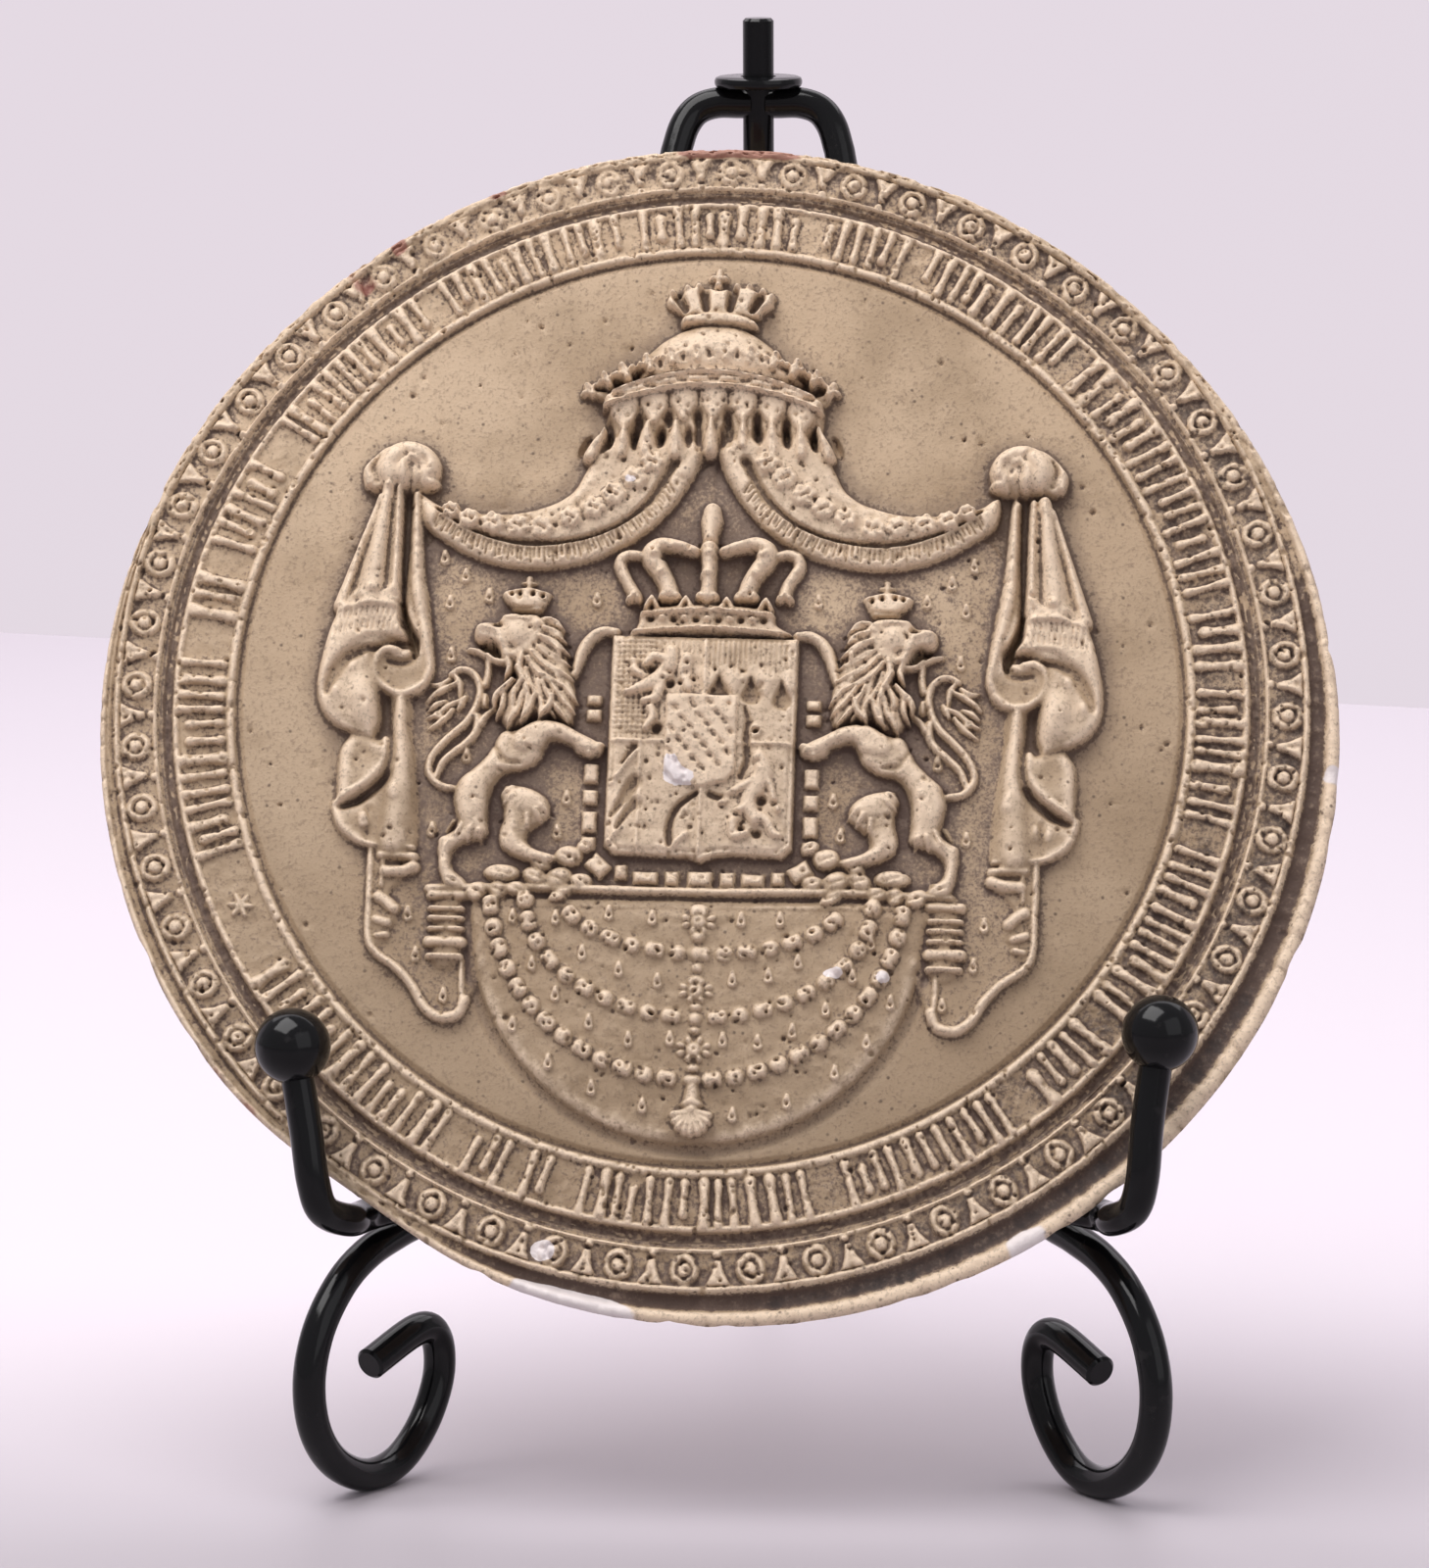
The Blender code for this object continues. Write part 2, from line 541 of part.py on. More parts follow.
def arm_path(side):
    if side < 0:
        front = [(-47.4, -26.2, 51.5), (-46.5, -27.0, 46.2), (-45.7, -27.6, 40.6),
                 (-44.6, -26.7, 37.0), (-42.0, -22.6, 35.0), (-40.2, -16.0, 34.4)]
    else:
        front = [(53.5, -26.2, 53.8), (52.7, -27.0, 47.8), (52.2, -27.6, 41.8),
                 (51.2, -26.7, 38.0), (49.0, -22.6, 35.9), (47.8, -16.0, 35.0)]
    kx, ky, kz = KNEE
    end = (kx + side * (KNEE_SPREAD + 0.6), ky - WIRE * 2 - 0.5, kz - 2.2)
    before = (kx + side * (KNEE_SPREAD + 2.6), ky - 9.0, kz - 3.0)
    return smooth_path(front + [before, end], 3)


def back_path():
    jx, jy, jz = JUNCTION
    fx, fy = BACK_FOOT
    lean = 0.1
    top = (jx, jy - lean * (STUB_TOP - jz), STUB_TOP)
    return [top, (jx, jy, jz)] + smooth_path(
        [(jx, jy + 1.6, jz - 12), (jx, jy + 9, jz - 45), (jx - 0.2, jy + 26, jz - 96),
         (fx, fy, -1.6)], 4)


def ball(name, centre, target):
    mesh = bpy.data.meshes.new(name)
    made = bmesh.new()
    bmesh.ops.create_uvsphere(made, u_segments=16, v_segments=10, radius=BALL_RADIUS * MM)
    made.to_mesh(mesh)
    made.free()
    mesh.transform(Matrix.Translation(Vector(centre) * MM))
    thing = bpy.data.objects.new(name, mesh)
    target.objects.link(thing)
    return thing


def washer(name, target):
    radius, thick, height = WASHER
    hole = WIRE + GAP
    mesh = bpy.data.meshes.new(name)
    ring = [(hole, thick / 2), (radius - 0.3, thick / 2), (radius, thick / 2 - 0.3),
            (radius, -thick / 2 + 0.3), (radius - 0.3, -thick / 2), (hole, -thick / 2)]
    points = [(r * MM, 0.0, z * MM) for r, z in ring]
    mesh.from_pydata(points, [(i, (i + 1) % 6) for i in range(6)], [])
    thing = bpy.data.objects.new(name, mesh)
    target.objects.link(thing)
    turn = thing.modifiers.new("turn", "SCREW")
    turn.axis = "Z"
    turn.steps = 24
    turn.render_steps = 24
    turn.use_merge_vertices = True
    turn.merge_threshold = 0.0001
    mesh = evaluated(thing)
    thing.modifiers.clear()
    thing.data = mesh
    tidy(mesh)
    jx, jy, jz = JUNCTION
    place = Vector((jx, jy - 0.1 * (height - jz), height)) * MM
    mesh.transform(Matrix.Translation(place) @ Matrix.Rotation(math.radians(5.7), 4, "X"))
    return thing


def main():
    clear_scene()
    shown = collection("coat of arms plaque")
    tools = collection("cutters")
    lacquer = ((0.012, 0.012, 0.014), 0.0, 0.22)
    cast = make_cast(shown)
    cast.name = "plaque"
    lean = Matrix.Rotation(math.radians(90 - CAST_LEAN), 4, "X")
    cast.data.transform(Matrix.Translation((0, 0, SEAL_HEIGHT * MM)) @ lean)
    cast.data.materials.clear()
    cast.data.materials.append(finish("cast", (0.46, 0.36, 0.25), 0.0, 0.62))
    pieces = [cast]
    table = block("table", (-200, -200, -30), (200, 200, 0.0), tools)
    for name, side in (("left", -1), ("right", 1)):
        leg = wire(name + "_leg", leg_path(side), shown)
        cut(leg, table)
        path = arm_path(side)
        arm = wire(name + "_arm", path, shown)
        rise = Vector(path[0]) - Vector(path[1])
        centre = Vector(path[0]) + rise.normalized() * (BALL_RADIUS + GAP * 2)
        pieces += [leg, arm, ball(name + "_ball", centre, shown)]
    rear = wire("back_leg", back_path(), shown)
    cut(rear, table)
    pieces += [rear, washer("top_washer", shown)]
    bpy.data.objects.remove(table, do_unlink=True)
    for piece in pieces[1:]:
        piece.data.materials.clear()
        piece.data.materials.append(finish(piece.name + " lacquer", *lacquer))
    low = [min(v.co[k] for p in pieces for v in p.data.vertices) for k in range(3)]
    high = [max(v.co[k] for p in pieces for v in p.data.vertices) for k in range(3)]
    shift = Vector((-(low[0] + high[0]) / 2, -(low[1] + high[1]) / 2, -low[2]))
    for piece in pieces:
        piece.data.transform(Matrix.Translation(shift))
        for face in piece.data.polygons:
            face.use_smooth = False
    print("shift", [round(c / MM, 3) for c in shift])
    print("faces", {p.name: sum(len(f.vertices) - 2 for f in p.data.polygons) for p in pieces})


main()
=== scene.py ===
# Looks of a round cast relief of a coat of arms and of the black wire easel that it leans on.
import math

import bmesh
import bpy
import numpy as np
from mathutils import Matrix, Vector


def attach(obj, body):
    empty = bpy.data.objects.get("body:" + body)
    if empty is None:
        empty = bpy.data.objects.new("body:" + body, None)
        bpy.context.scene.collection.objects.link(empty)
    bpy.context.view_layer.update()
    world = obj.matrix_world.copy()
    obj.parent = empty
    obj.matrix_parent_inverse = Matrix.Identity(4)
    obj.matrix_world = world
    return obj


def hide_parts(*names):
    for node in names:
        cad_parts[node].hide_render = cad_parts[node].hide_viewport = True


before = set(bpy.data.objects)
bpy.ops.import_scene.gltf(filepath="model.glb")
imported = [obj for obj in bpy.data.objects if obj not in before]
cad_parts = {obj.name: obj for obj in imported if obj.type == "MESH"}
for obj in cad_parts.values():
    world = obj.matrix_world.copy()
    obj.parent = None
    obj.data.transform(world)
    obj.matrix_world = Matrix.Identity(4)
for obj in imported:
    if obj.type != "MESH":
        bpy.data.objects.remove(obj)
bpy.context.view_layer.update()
mm = 0.001

# The cast in millimetres: its place, its outline and its back
cast = {
    "lean": 22.4,             # degrees back from upright
    "centre": (-0.976, -34.671, 95.2),
    "thickness": 8.0,
    "radius": 74.9,
    # order, sine and cosine of the waves in an outline that is not quite round
    "waves": ((1, 1.12, -2.53), (2, -0.45, -0.46), (3, 0.18, 0.18), (4, 0.0, 0.23)),
    "flatSpot": (213.0, 11.0, 1.4),    # middle and half width in degrees, and depth
    "sideTaper": 3.2,         # how much less the back's radius is than the face's
    "rows": (331, 88, 14),    # rows of vertices in the field, the rings and the rim
    "rimRow": 0.15,           # width of a row in the rim
    "faces": (196000, 190000),   # triangles left after thinning, in the field and in the rings
}
# Radii of the turned rings, and how many rosettes stand in the outer one
rings = {
    "field": 57.9,
    "last": 72.8,
    "rim": 2.1,               # width of the pattern outside the last ring
    "least": 0.9,             # least width of that rim on the cast
    "reference": 66.0,        # radius at which the unrolled ring sheet is to scale
    "ornamentCount": 56,
}


def along(points, perSpan=6):
    # a smooth line through the points
    p = [np.array(q, float) for q in points]
    p = [2 * p[0] - p[1]] + p + [2 * p[-1] - p[-2]]
    out = []
    for i in range(1, len(p) - 2):
        for t in np.arange(perSpan) / perSpan:
            b = (p[i + 1] - p[i - 1]) * t
            c = (2 * p[i - 1] - 5 * p[i] + 4 * p[i + 1] - p[i + 2]) * t ** 2
            d = (3 * p[i] - p[i - 1] - 3 * p[i + 1] + p[i + 2]) * t ** 3
            out.append(0.5 * (2 * p[i] + b + c + d))
    out.append(p[-2])
    return out


def softStep(x, low, high):
    t = np.clip((x - low) / (high - low), 0, 1)
    return t * t * (3 - 2 * t)


def softNoise(shape, cell, seed):
    # smooth seeded noise from -1 to 1 over a grid, cell in grid steps
    rng = np.random.default_rng(seed)
    coarse = rng.uniform(-1, 1, (int(shape[0] / cell) + 3, int(shape[1] / cell) + 3))
    y = np.arange(shape[0]) / cell
    x = np.arange(shape[1]) / cell
    iy, ix = y.astype(int), x.astype(int)
    fy = softStep(y - iy, 0, 1)[:, None]
    fx = softStep(x - ix, 0, 1)[None, :]
    low = coarse[iy][:, ix] * (1 - fx) + coarse[iy][:, ix + 1] * fx
    high = coarse[iy + 1][:, ix] * (1 - fx) + coarse[iy + 1][:, ix + 1] * fx
    return low * (1 - fy) + high * fy


def blurred(height, steps):
    # soft average over a distance in grid steps
    fy = np.fft.fftfreq(height.shape[0])[:, None]
    fx = np.fft.rfftfreq(height.shape[1])[None, :]
    keep = np.exp(-2 * (math.pi * steps) ** 2 * (fx ** 2 + fy ** 2))
    return np.fft.irfft2(np.fft.rfft2(height) * keep, s=height.shape)


class Sheet:
    # heights in millimetres on a square grid, modelled figure by figure as in clay
    def __init__(self, left, bottom, right, top, step):
        self.low = np.array((left, bottom), float)
        self.step = step
        self.shape = (int((top - bottom) / step) + 1, int((right - left) / step) + 1)
        self.height = np.zeros(self.shape)
        self.dirt = np.zeros(self.shape)
        self.pale = np.zeros(self.shape)

    def window(self, points, reach):
        pts = np.array(points, float)
        low = np.floor((pts.min(0) - reach - self.low) / self.step).astype(int)
        high = np.ceil((pts.max(0) + reach - self.low) / self.step).astype(int) + 1
        low = np.clip(low, 0, (self.shape[1], self.shape[0]))
        high = np.clip(high, 0, (self.shape[1], self.shape[0]))
        part = (slice(low[1], high[1]), slice(low[0], high[0]))
        x = self.low[0] + self.step * np.arange(low[0], high[0])[None, :]
        y = self.low[1] + self.step * np.arange(low[1], high[1])[:, None]
        return part, x + 0 * y, y + 0 * x

    def distance(self, x, y, path):
        best = np.full(x.shape, 1e9)
        share = np.zeros(x.shape)
        count = len(path) - 1
        for i in range(count):
            ax, ay = path[i]
            dx, dy = path[i + 1][0] - ax, path[i + 1][1] - ay
            t = np.clip(((x - ax) * dx + (y - ay) * dy) / max(dx * dx + dy * dy, 1e-9), 0, 1)
            d = np.hypot(x - ax - t * dx, y - ay - t * dy)
            closer = d < best
            best = np.where(closer, d, best)
            share = np.where(closer, (i + t) / count, share)
        return best, share

    def lay(self, part, rise, level):
        # level None adds to what is there, a number raises the figure from that level
        if level is None:
            self.height[part] += rise
        else:
            here = self.height[part]
            self.height[part] = np.where(rise > 0, np.maximum(here, level + rise), here)

    def ridge(self, points, half, rise, level=None, perSpan=4, power=0.5):
        path = along(points, perSpan)
        halves = np.atleast_1d(np.array(half, float))
        part, x, y = self.window(path, halves.max())
        d, share = self.distance(x, y, path)
        w = np.interp(share, np.linspace(0, 1, len(halves)), halves)
        self.lay(part, rise * np.clip(1 - (d / w) ** 2, 0, 1) ** power, level)

    def groove(self, points, half, depth, perSpan=4):
        self.ridge(points, half, -depth, None, perSpan, 1.0)

    def mound(self, centre, radii, rise, level=None, turn=0.0, power=0.5):
        part, x, y = self.window([centre], max(radii))
        c, s = math.cos(math.radians(turn)), math.sin(math.radians(turn))
        dx, dy = x - centre[0], y - centre[1]
        q = ((dx * c + dy * s) / radii[0]) ** 2 + ((dy * c - dx * s) / radii[1]) ** 2
        self.lay(part, rise * np.clip(1 - q, 0, 1) ** power, level)

    def inside(self, x, y, closed):
        found = np.zeros(x.shape, bool)
        for (ax, ay), (bx, by) in zip(closed[:-1], closed[1:]):
            if ay != by:
                crosses = (ay > y) != (by > y)
                found ^= crosses & (x < (bx - ax) * (y - ay) / (by - ay) + ax)
        return found

    def plate(self, outline, rise, edge=0.8, level=0.0, perSpan=4):
        # a raised area with a rounded edge inside a smooth closed outline
        closed = along(list(outline) + [outline[0]], perSpan)
        part, x, y = self.window(closed, 0.2)
        d, _ = self.distance(x, y, closed)
        swell = np.sqrt(np.clip(1 - (1 - np.minimum(d / edge, 1)) ** 2, 0, 1))
        self.lay(part, np.where(self.inside(x, y, closed), rise * swell, 0), level)

    def soil(self, outline, amount):
        closed = along(list(outline) + [outline[0]], 4)
        part, x, y = self.window(closed, 0.2)
        dirt = np.where(self.inside(x, y, closed), amount, 0)
        self.dirt[part] = np.maximum(self.dirt[part], dirt)

    def sample(self, field, x, y):
        fx = np.clip((x - self.low[0]) / self.step, 0, self.shape[1] - 1.001)
        fy = np.clip((y - self.low[1]) / self.step, 0, self.shape[0] - 1.001)
        ix, iy = fx.astype(int), fy.astype(int)
        fx, fy = fx - ix, fy - iy
        low = field[iy, ix] * (1 - fx) + field[iy, ix + 1] * fx
        high = field[iy + 1, ix] * (1 - fx) + field[iy + 1, ix + 1] * fx
        return low * (1 - fy) + high * fy


def flip(points, about=0.0, lift=0.0):
    # mirror image to the other side
    return [(2 * about - x, y + lift) for x, y in points]


def bothSides(points, about=0.0, lift=0.0):
    return points, flip(points, about, lift)


def modelMantle(clay):
    ground = [(0, 31), (-12, 24), (-34, 21), (-36, 8), (-37, -6), (-40.2, -19), (-40.3, -30),
              (-39.2, -32.8), (-36, -34.8), (-33.2, -38.2), (-31, -40.5), (-28.4, -40),
              (-27, -37.5), (-22, -30), (0, -28)]
    for side in bothSides(ground):
        clay.plate(side, 0.5, 0.6)
        clay.soil(side, 1.0)
    for side in (-1, 1):
        modelCurtain(clay, side)
        modelFall(clay, side)
        modelKnot(clay, side)


def sided(side):
    # gives points that were measured on the left to either side
    def at(*points):
        return [(-side * x, y) for x, y in points]
    return at


def modelCurtain(clay, side):
    at = sided(side)
    cone = at((-39.6, 26), (-41.2, 24.8), (-42.8, 20), (-44.4, 15.4), (-46.1, 10.2), (-47.5, 5.4),
              (-48.1, 1.2), (-47.5, -2), (-46, -4.2), (-43.6, -5.3), (-41, -6.2), (-39.9, -4.4),
              (-40.1, 0), (-41, 4), (-38.4, 6.2), (-37.1, 7), (-38.3, 11), (-38.4, 18),
              (-38.5, 26))
    clay.plate(cone, 2.7, 1.5)
    clay.ridge(at((-41.4, 24.6), (-42.7, 20), (-44.2, 15), (-45.5, 10.6)), [0.5, 0.8, 1.0, 1.2],
               3.0, 0.0)
    clay.ridge(at((-40.4, 25.6), (-41, 20), (-41.6, 15), (-42, 11)), [1.0, 1.4, 1.8, 2.2], 3.8, 0.0)
    clay.ridge(at((-39.1, 25.6), (-39, 20), (-39, 15), (-39, 11.4)), [0.5, 0.6, 0.7, 0.9], 3.4, 0.0)
    clay.groove(at((-41.7, 23.6), (-43, 18), (-44.2, 12)), [0.3, 0.45, 0.6], 0.5)
    clay.groove(at((-39.9, 24), (-40, 18), (-40.1, 12.6)), [0.25, 0.35, 0.4], 0.5)
    # the turned hem over its hollow
    hem = at((-46, 10.4), (-44.6, 10.4), (-43.4, 12), (-41.2, 12.7), (-39, 12.9), (-38.2, 11),
             (-37.8, 9), (-36.9, 6.7), (-38.8, 6.2), (-41.2, 5.9), (-43.2, 4.9), (-45, 3.2),
             (-46.3, 1), (-47, -1.2), (-48, 0.4), (-47.8, 3.6), (-47, 7.4))
    clay.plate(hem, 3.3, 1.3)
    clay.ridge(at((-45.8, 9.6), (-43.4, 10.3), (-41, 10.6), (-38.6, 10.4)), 0.45, 0.45, power=1.0)
    for x, y in at((-43.6, 11.8), (-41.6, 12.5), (-39.6, 12.6), (-45.2, 10.2)):
        clay.mound((x, y), (0.9, 0.7), 0.55, power=0.9)
    for row, (top, deep) in enumerate(((9.6, 1.2), (8.1, 1.3))):
        for k in range(13):
            x = -46.1 + 0.66 * k + 0.2 * row
            y = top + 0.5 - 0.035 * (x + 41) ** 2
            clay.groove(at((x, y), (x - 0.1, y - deep)), 0.2, 0.4, 1)
    clay.groove(at((-46.7, -0.6), (-45.9, 1.6), (-44.4, 3.6), (-42.4, 4.8), (-40.6, 5.2)),
                [0.6, 1.0, 1.0, 0.7, 0.4], 1.0)
    clay.mound(at((-42.2, -1.6))[0], (1.9, 3.4), 1.0, power=1.0, turn=-side * 12)
    clay.ridge(at((-47.5, 1), (-47.2, -1.4), (-46, -3.5), (-44, -4.8), (-41, -5.8)), 0.6, 2.5, 0.0)
    for x, y in at((-43.7, 2.8), (-45.6, -0.6)):
        clay.mound((x, y), (0.6, 0.9), 0.6, power=0.8)
    # the inner strip and its curl
    strip = at((-37.7, 26), (-37.7, 18), (-37.9, 11), (-36.9, 7.6), (-36.2, 5.6), (-39, 5.4),
               (-41, 4), (-41.1, 1.6), (-39.6, -0.2), (-37.4, -0.9), (-35.2, 0), (-33.9, 2.2),
               (-33.8, 5.4), (-34.6, 11), (-35.6, 17), (-36.4, 26))
    clay.plate(strip, 1.9, 0.9)
    clay.ridge(at((-36.9, 25), (-36.6, 18), (-36.2, 12.6), (-35, 7), (-34.3, 3.4)),
               [0.5, 0.8, 1.1, 0.9, 0.6], 2.8, 0.0)
    clay.ridge(at((-34.3, 4.4), (-34.3, 2.2), (-35.4, 0.3), (-37.5, -0.5), (-39.6, 0.2),
                  (-40.9, 2), (-40.8, 4), (-39.6, 5), (-38.4, 4.8)), [0.6, 0.6, 0.7, 0.8], 2.7, 0.0)
    clay.groove(at((-38.1, 11), (-37.6, 8.4), (-36.4, 6.4), (-36.2, 4.6)), [0.3, 0.8, 0.9, 0.5],
                2.2)
    clay.groove(at((-39.4, 3.6), (-38, 3.4), (-36.6, 3.9), (-36, 5.2)), [0.4, 0.6, 0.7, 0.4], 1.1)
    for k in range(6):
        x = -39.6 + 0.8 * k
        clay.groove(at((x, 2.6 - 0.2 * abs(k - 2)), (x, 1.2)), 0.2, 0.4, 1)
    for x, y in at((-36.2, 15.4), (-36.3, 18.3), (-35.8, 8.2), (-35, 1.2), (-38.6, 0.4)):
        clay.mound((x, y), (0.35, 0.3), -0.5, power=0.9)


def modelFall(clay, side):
    at = sided(side)
    flap = at((-43.6, -5.6), (-40, -6.2), (-38.6, -7), (-38.9, -9.6), (-40.6, -11.6),
              (-42.8, -13), (-44.6, -14.6), (-45, -11), (-44.8, -7.6))
    fall = at((-39, -0.6), (-36.4, -1), (-36, -5), (-35.7, -9), (-35.3, -14), (-34.6, -19.6),
              (-37.6, -20), (-40.8, -19.6), (-43.4, -18.2), (-45, -15.6), (-44, -14.6),
              (-42.2, -14), (-40.8, -12.6), (-39, -11), (-38.3, -8.4), (-38.7, -5))
    clay.plate(fall, 1.5, 0.8)
    clay.plate(flap, 2.3, 1.3)
    clay.ridge(at((-39.2, -6.2), (-39.2, -8.8), (-40.4, -11), (-42.6, -12.8), (-44.3, -14)),
               [0.5, 0.7, 0.75, 0.6], 2.7, 0.0)
    clay.mound(at((-42.2, -8.6))[0], (1.9, 2.6), -0.45, power=1.4)
    clay.ridge(at((-37.6, -1.4), (-37.4, -5), (-37.1, -9), (-37.4, -14), (-37.6, -19)),
               [1.0, 1.3, 1.9, 3.0, 3.4], 2.7, 0.0, power=1.2)
    clay.groove(at((-38.6, -10.6), (-40.2, -12.6), (-42.4, -14.1), (-44, -14.8)),
                [0.4, 0.7, 0.8, 0.5], 1.1)
    clay.groove(at((-40.9, -15), (-40.9, -19)), [0.5, 0.3], 0.6, 2)
    clay.ridge(at((-45, -14.4), (-44.4, -16.8), (-42.6, -18.6), (-39.8, -19.6), (-35.2, -19.8)),
               0.5, 1.9, 0.0)
    clay.mound(at((-41.6, -16.3))[0], (0.5, 0.8), 0.7)
    # the tail of the cloth and its cord
    clay.plate(at((-40.4, -20), (-35, -20), (-34.3, -21.6), (-34.8, -23.2), (-36.6, -24.2),
                  (-37.6, -26), (-36.6, -27.2), (-36.5, -29), (-37.6, -30.6), (-39, -32.2),
                  (-40.4, -30)), 0.9, 0.6)
    for line, half, level in ((((-39, -20.8), (-36.4, -20.9), (-35, -21)), 0.7, 2.0),
                              (((-38.4, -22.8), (-36.4, -22.7), (-35, -22.2)), 0.9, 2.1),
                              (((-39, -26), (-38.2, -26.5), (-37.2, -27.4)), 0.9, 1.9),
                              (((-39.2, -28.8), (-37.8, -29.2)), 0.7, 1.7),
                              (((-39, -30.8), (-37.9, -30.6)), 0.5, 1.5)):
        clay.ridge(at(*line), half, level, 0.0, 3)
    clay.ridge(at((-38.7, -20.6), (-38.8, -24.6)), 0.35, 1.6, 0.0, 2)
    clay.ridge(at((-40.3, -19.8), (-40.2, -26), (-40.1, -30.6), (-39.1, -32.8), (-36.4, -34.7),
                  (-34.4, -36.9), (-32.8, -39.4), (-31, -40.6), (-28.8, -40.2), (-28, -38.4)),
               [0.5, 0.5, 0.6, 0.7, 0.7], 1.5, 0.0)
    clay.ridge(at((-28.3, -39), (-28.5, -36), (-28.5, -33.6)), 0.45, 1.2, 0.0)


def modelKnot(clay, side):
    lift = 1.2 if side > 0 else 0.0

    def at(*points):
        return [(side * -x - (0.6 if side > 0 else 0), y + lift) for x, y in points]

    whole = at((-40.4, 25.2), (-42.6, 25.4), (-43.7, 27), (-43.4, 29.2), (-41.8, 31),
               (-39.6, 32), (-37.4, 32), (-35.3, 31), (-34.1, 29), (-34.3, 27), (-35.2, 25.6),
               (-37.6, 25.2))
    clay.plate(whole, 3.6, 2.6)
    clay.ridge(at((-43, 26.4), (-43.2, 28), (-42.4, 29.4)), [0.7, 0.8, 0.5], 2.9, 0.0)
    clay.groove(at((-41.9, 29.8), (-42.4, 28.4), (-41.9, 26.6)), [0.3, 0.5, 0.6], 0.9)
    clay.ridge(at((-40.2, 26.2), (-40.4, 28.8), (-39, 30.8), (-36.8, 31.2), (-35.2, 29.6),
                  (-34.9, 27.8)), [0.9, 1.2, 1.2, 1.0, 0.8], 0.8, power=0.8)
    clay.groove(at((-39.4, 31.2), (-38.2, 29.4), (-37.6, 27.4), (-38, 25.6)), [0.4, 0.6, 0.4], 0.6)
    clay.mound(at((-36.3, 28.8))[0], (0.9, 1.3), -0.5, power=1.0, turn=side * 30)
    clay.ridge(at((-38.6, 26.2), (-38.8, 28), (-38, 29.6)), [0.8, 0.7, 0.4], 0.7, power=0.9)
    clay.mound(at((-35.4, 26.6))[0], (1.3, 0.9), 3.2, 0.0)
    clay.groove(at((-37, 25.9), (-36.6, 27.4), (-37.2, 28.8)), [0.5, 0.4, 0.5], 0.5)


def modelShieldCrown(clay):
    mid = -0.5
    clay.plate([(-9.6, 7.8), (-9, 9.4), (-8, 11.2), (mid, 11.9), (7, 11.3), (8.1, 9.4), (9, 7.8)],
               2.6, 0.9)
    for y, half, level in ((8.5, 9.0, 3.3), (10.7, 7.9, 3.7)):
        clay.ridge([(mid - half, y - 0.6), (mid, y + 0.1), (mid + half, y - 0.4)], 0.42, level, 0.0)
    for k in range(11):
        x = -7.4 + 1.38 * k
        if k % 2:
            clay.mound((x, 9.65), (0.75, 0.55), 3.7, 0.0)
        else:
            clay.mound((x, 9.6), (0.55, 0.5), -1.2, power=0.9)
    for x in (-3.2, 1.8, 6.6, -7.4):
        clay.ridge([(x - 0.7, 11.2), (x, 12.3), (x + 0.7, 11.2)], [0.4, 0.45, 0.4], 3.1, 0.0, 2)
        clay.mound((x, 12.4), (0.4, 0.4), 3.2, 0.0)
    for x, y, w in ((-9.6, 12.4, 0.9), (-5.2, 12.8, 1.3), (-0.6, 12.9, 1.35), (4.2, 13, 1.4),
                    (8.9, 12.8, 1.0)):
        for shift, drop, share in ((0, 0.2, 0.75), (-0.6, -0.25, 0.6), (0.6, -0.25, 0.6)):
            clay.mound((x + shift * w, y + drop), (share * w, share * 0.95 * w), 3.5, 0.0)
    for x, y in ((-0.6, 15.4), (-0.55, 18), (-6.3, 15.4), (-7.3, 17.8), (5.2, 15.4), (6.2, 18)):
        clay.mound((x, y), (1.1, 0.95), 4.3, 0.0)
    clay.ridge([(-0.6, 12.6), (-0.5, 14.2), (-0.5, 16.4), (-0.6, 18.8), (-0.5, 20.3)],
               [1.2, 1.05, 1.05, 1.25, 0.95], 3.6, 0.0)
    clay.ridge([(-0.5, 20), (-0.5, 21.2), (-0.4, 22.6), (-0.4, 23.8)], [0.9, 1.2, 1.5, 1.2],
               3.4, 0.0)
    clay.groove([(-1.7, 19.6), (0.7, 19.6)], 0.3, 0.8, 1)
    inner = ([(-5.2, 12.9), (-5.7, 14.4), (-6.6, 16), (-7.5, 17.4), (-7.4, 18.6), (-6.2, 19.2),
              (-4.2, 19), (-2.2, 18.4)],
             [(4.2, 13.1), (4.7, 14.8), (5.6, 16.3), (6.5, 17.6), (6.4, 18.9), (5.2, 19.5),
              (3.4, 19.2), (1.2, 18.5)])
    outer = ([(-9.4, 12.6), (-10.2, 14), (-11, 15.4), (-11.5, 16.8), (-11, 17.8), (-9.6, 18),
              (-8.5, 17.7)],
             [(8.8, 13), (9.2, 14.4), (10, 15.8), (10.6, 17), (10.2, 18.1), (9, 18.5), (7.8, 18.1)])
    for line in inner:
        clay.ridge(line, [1.25, 1.25, 1.4, 1.5, 1.25, 0.95, 0.75], 3.5, 0.0)
    for line in outer:
        clay.ridge(line, [0.95, 0.85, 0.9, 0.8, 0.65], 2.4, 0.0)
    for x, y in ((6, 18.2), (4.6, 12.9), (3.1, 12.8), (-7.5, 18.2)):
        clay.mound((x, y), (0.32, 0.3), -1.0, power=0.9)


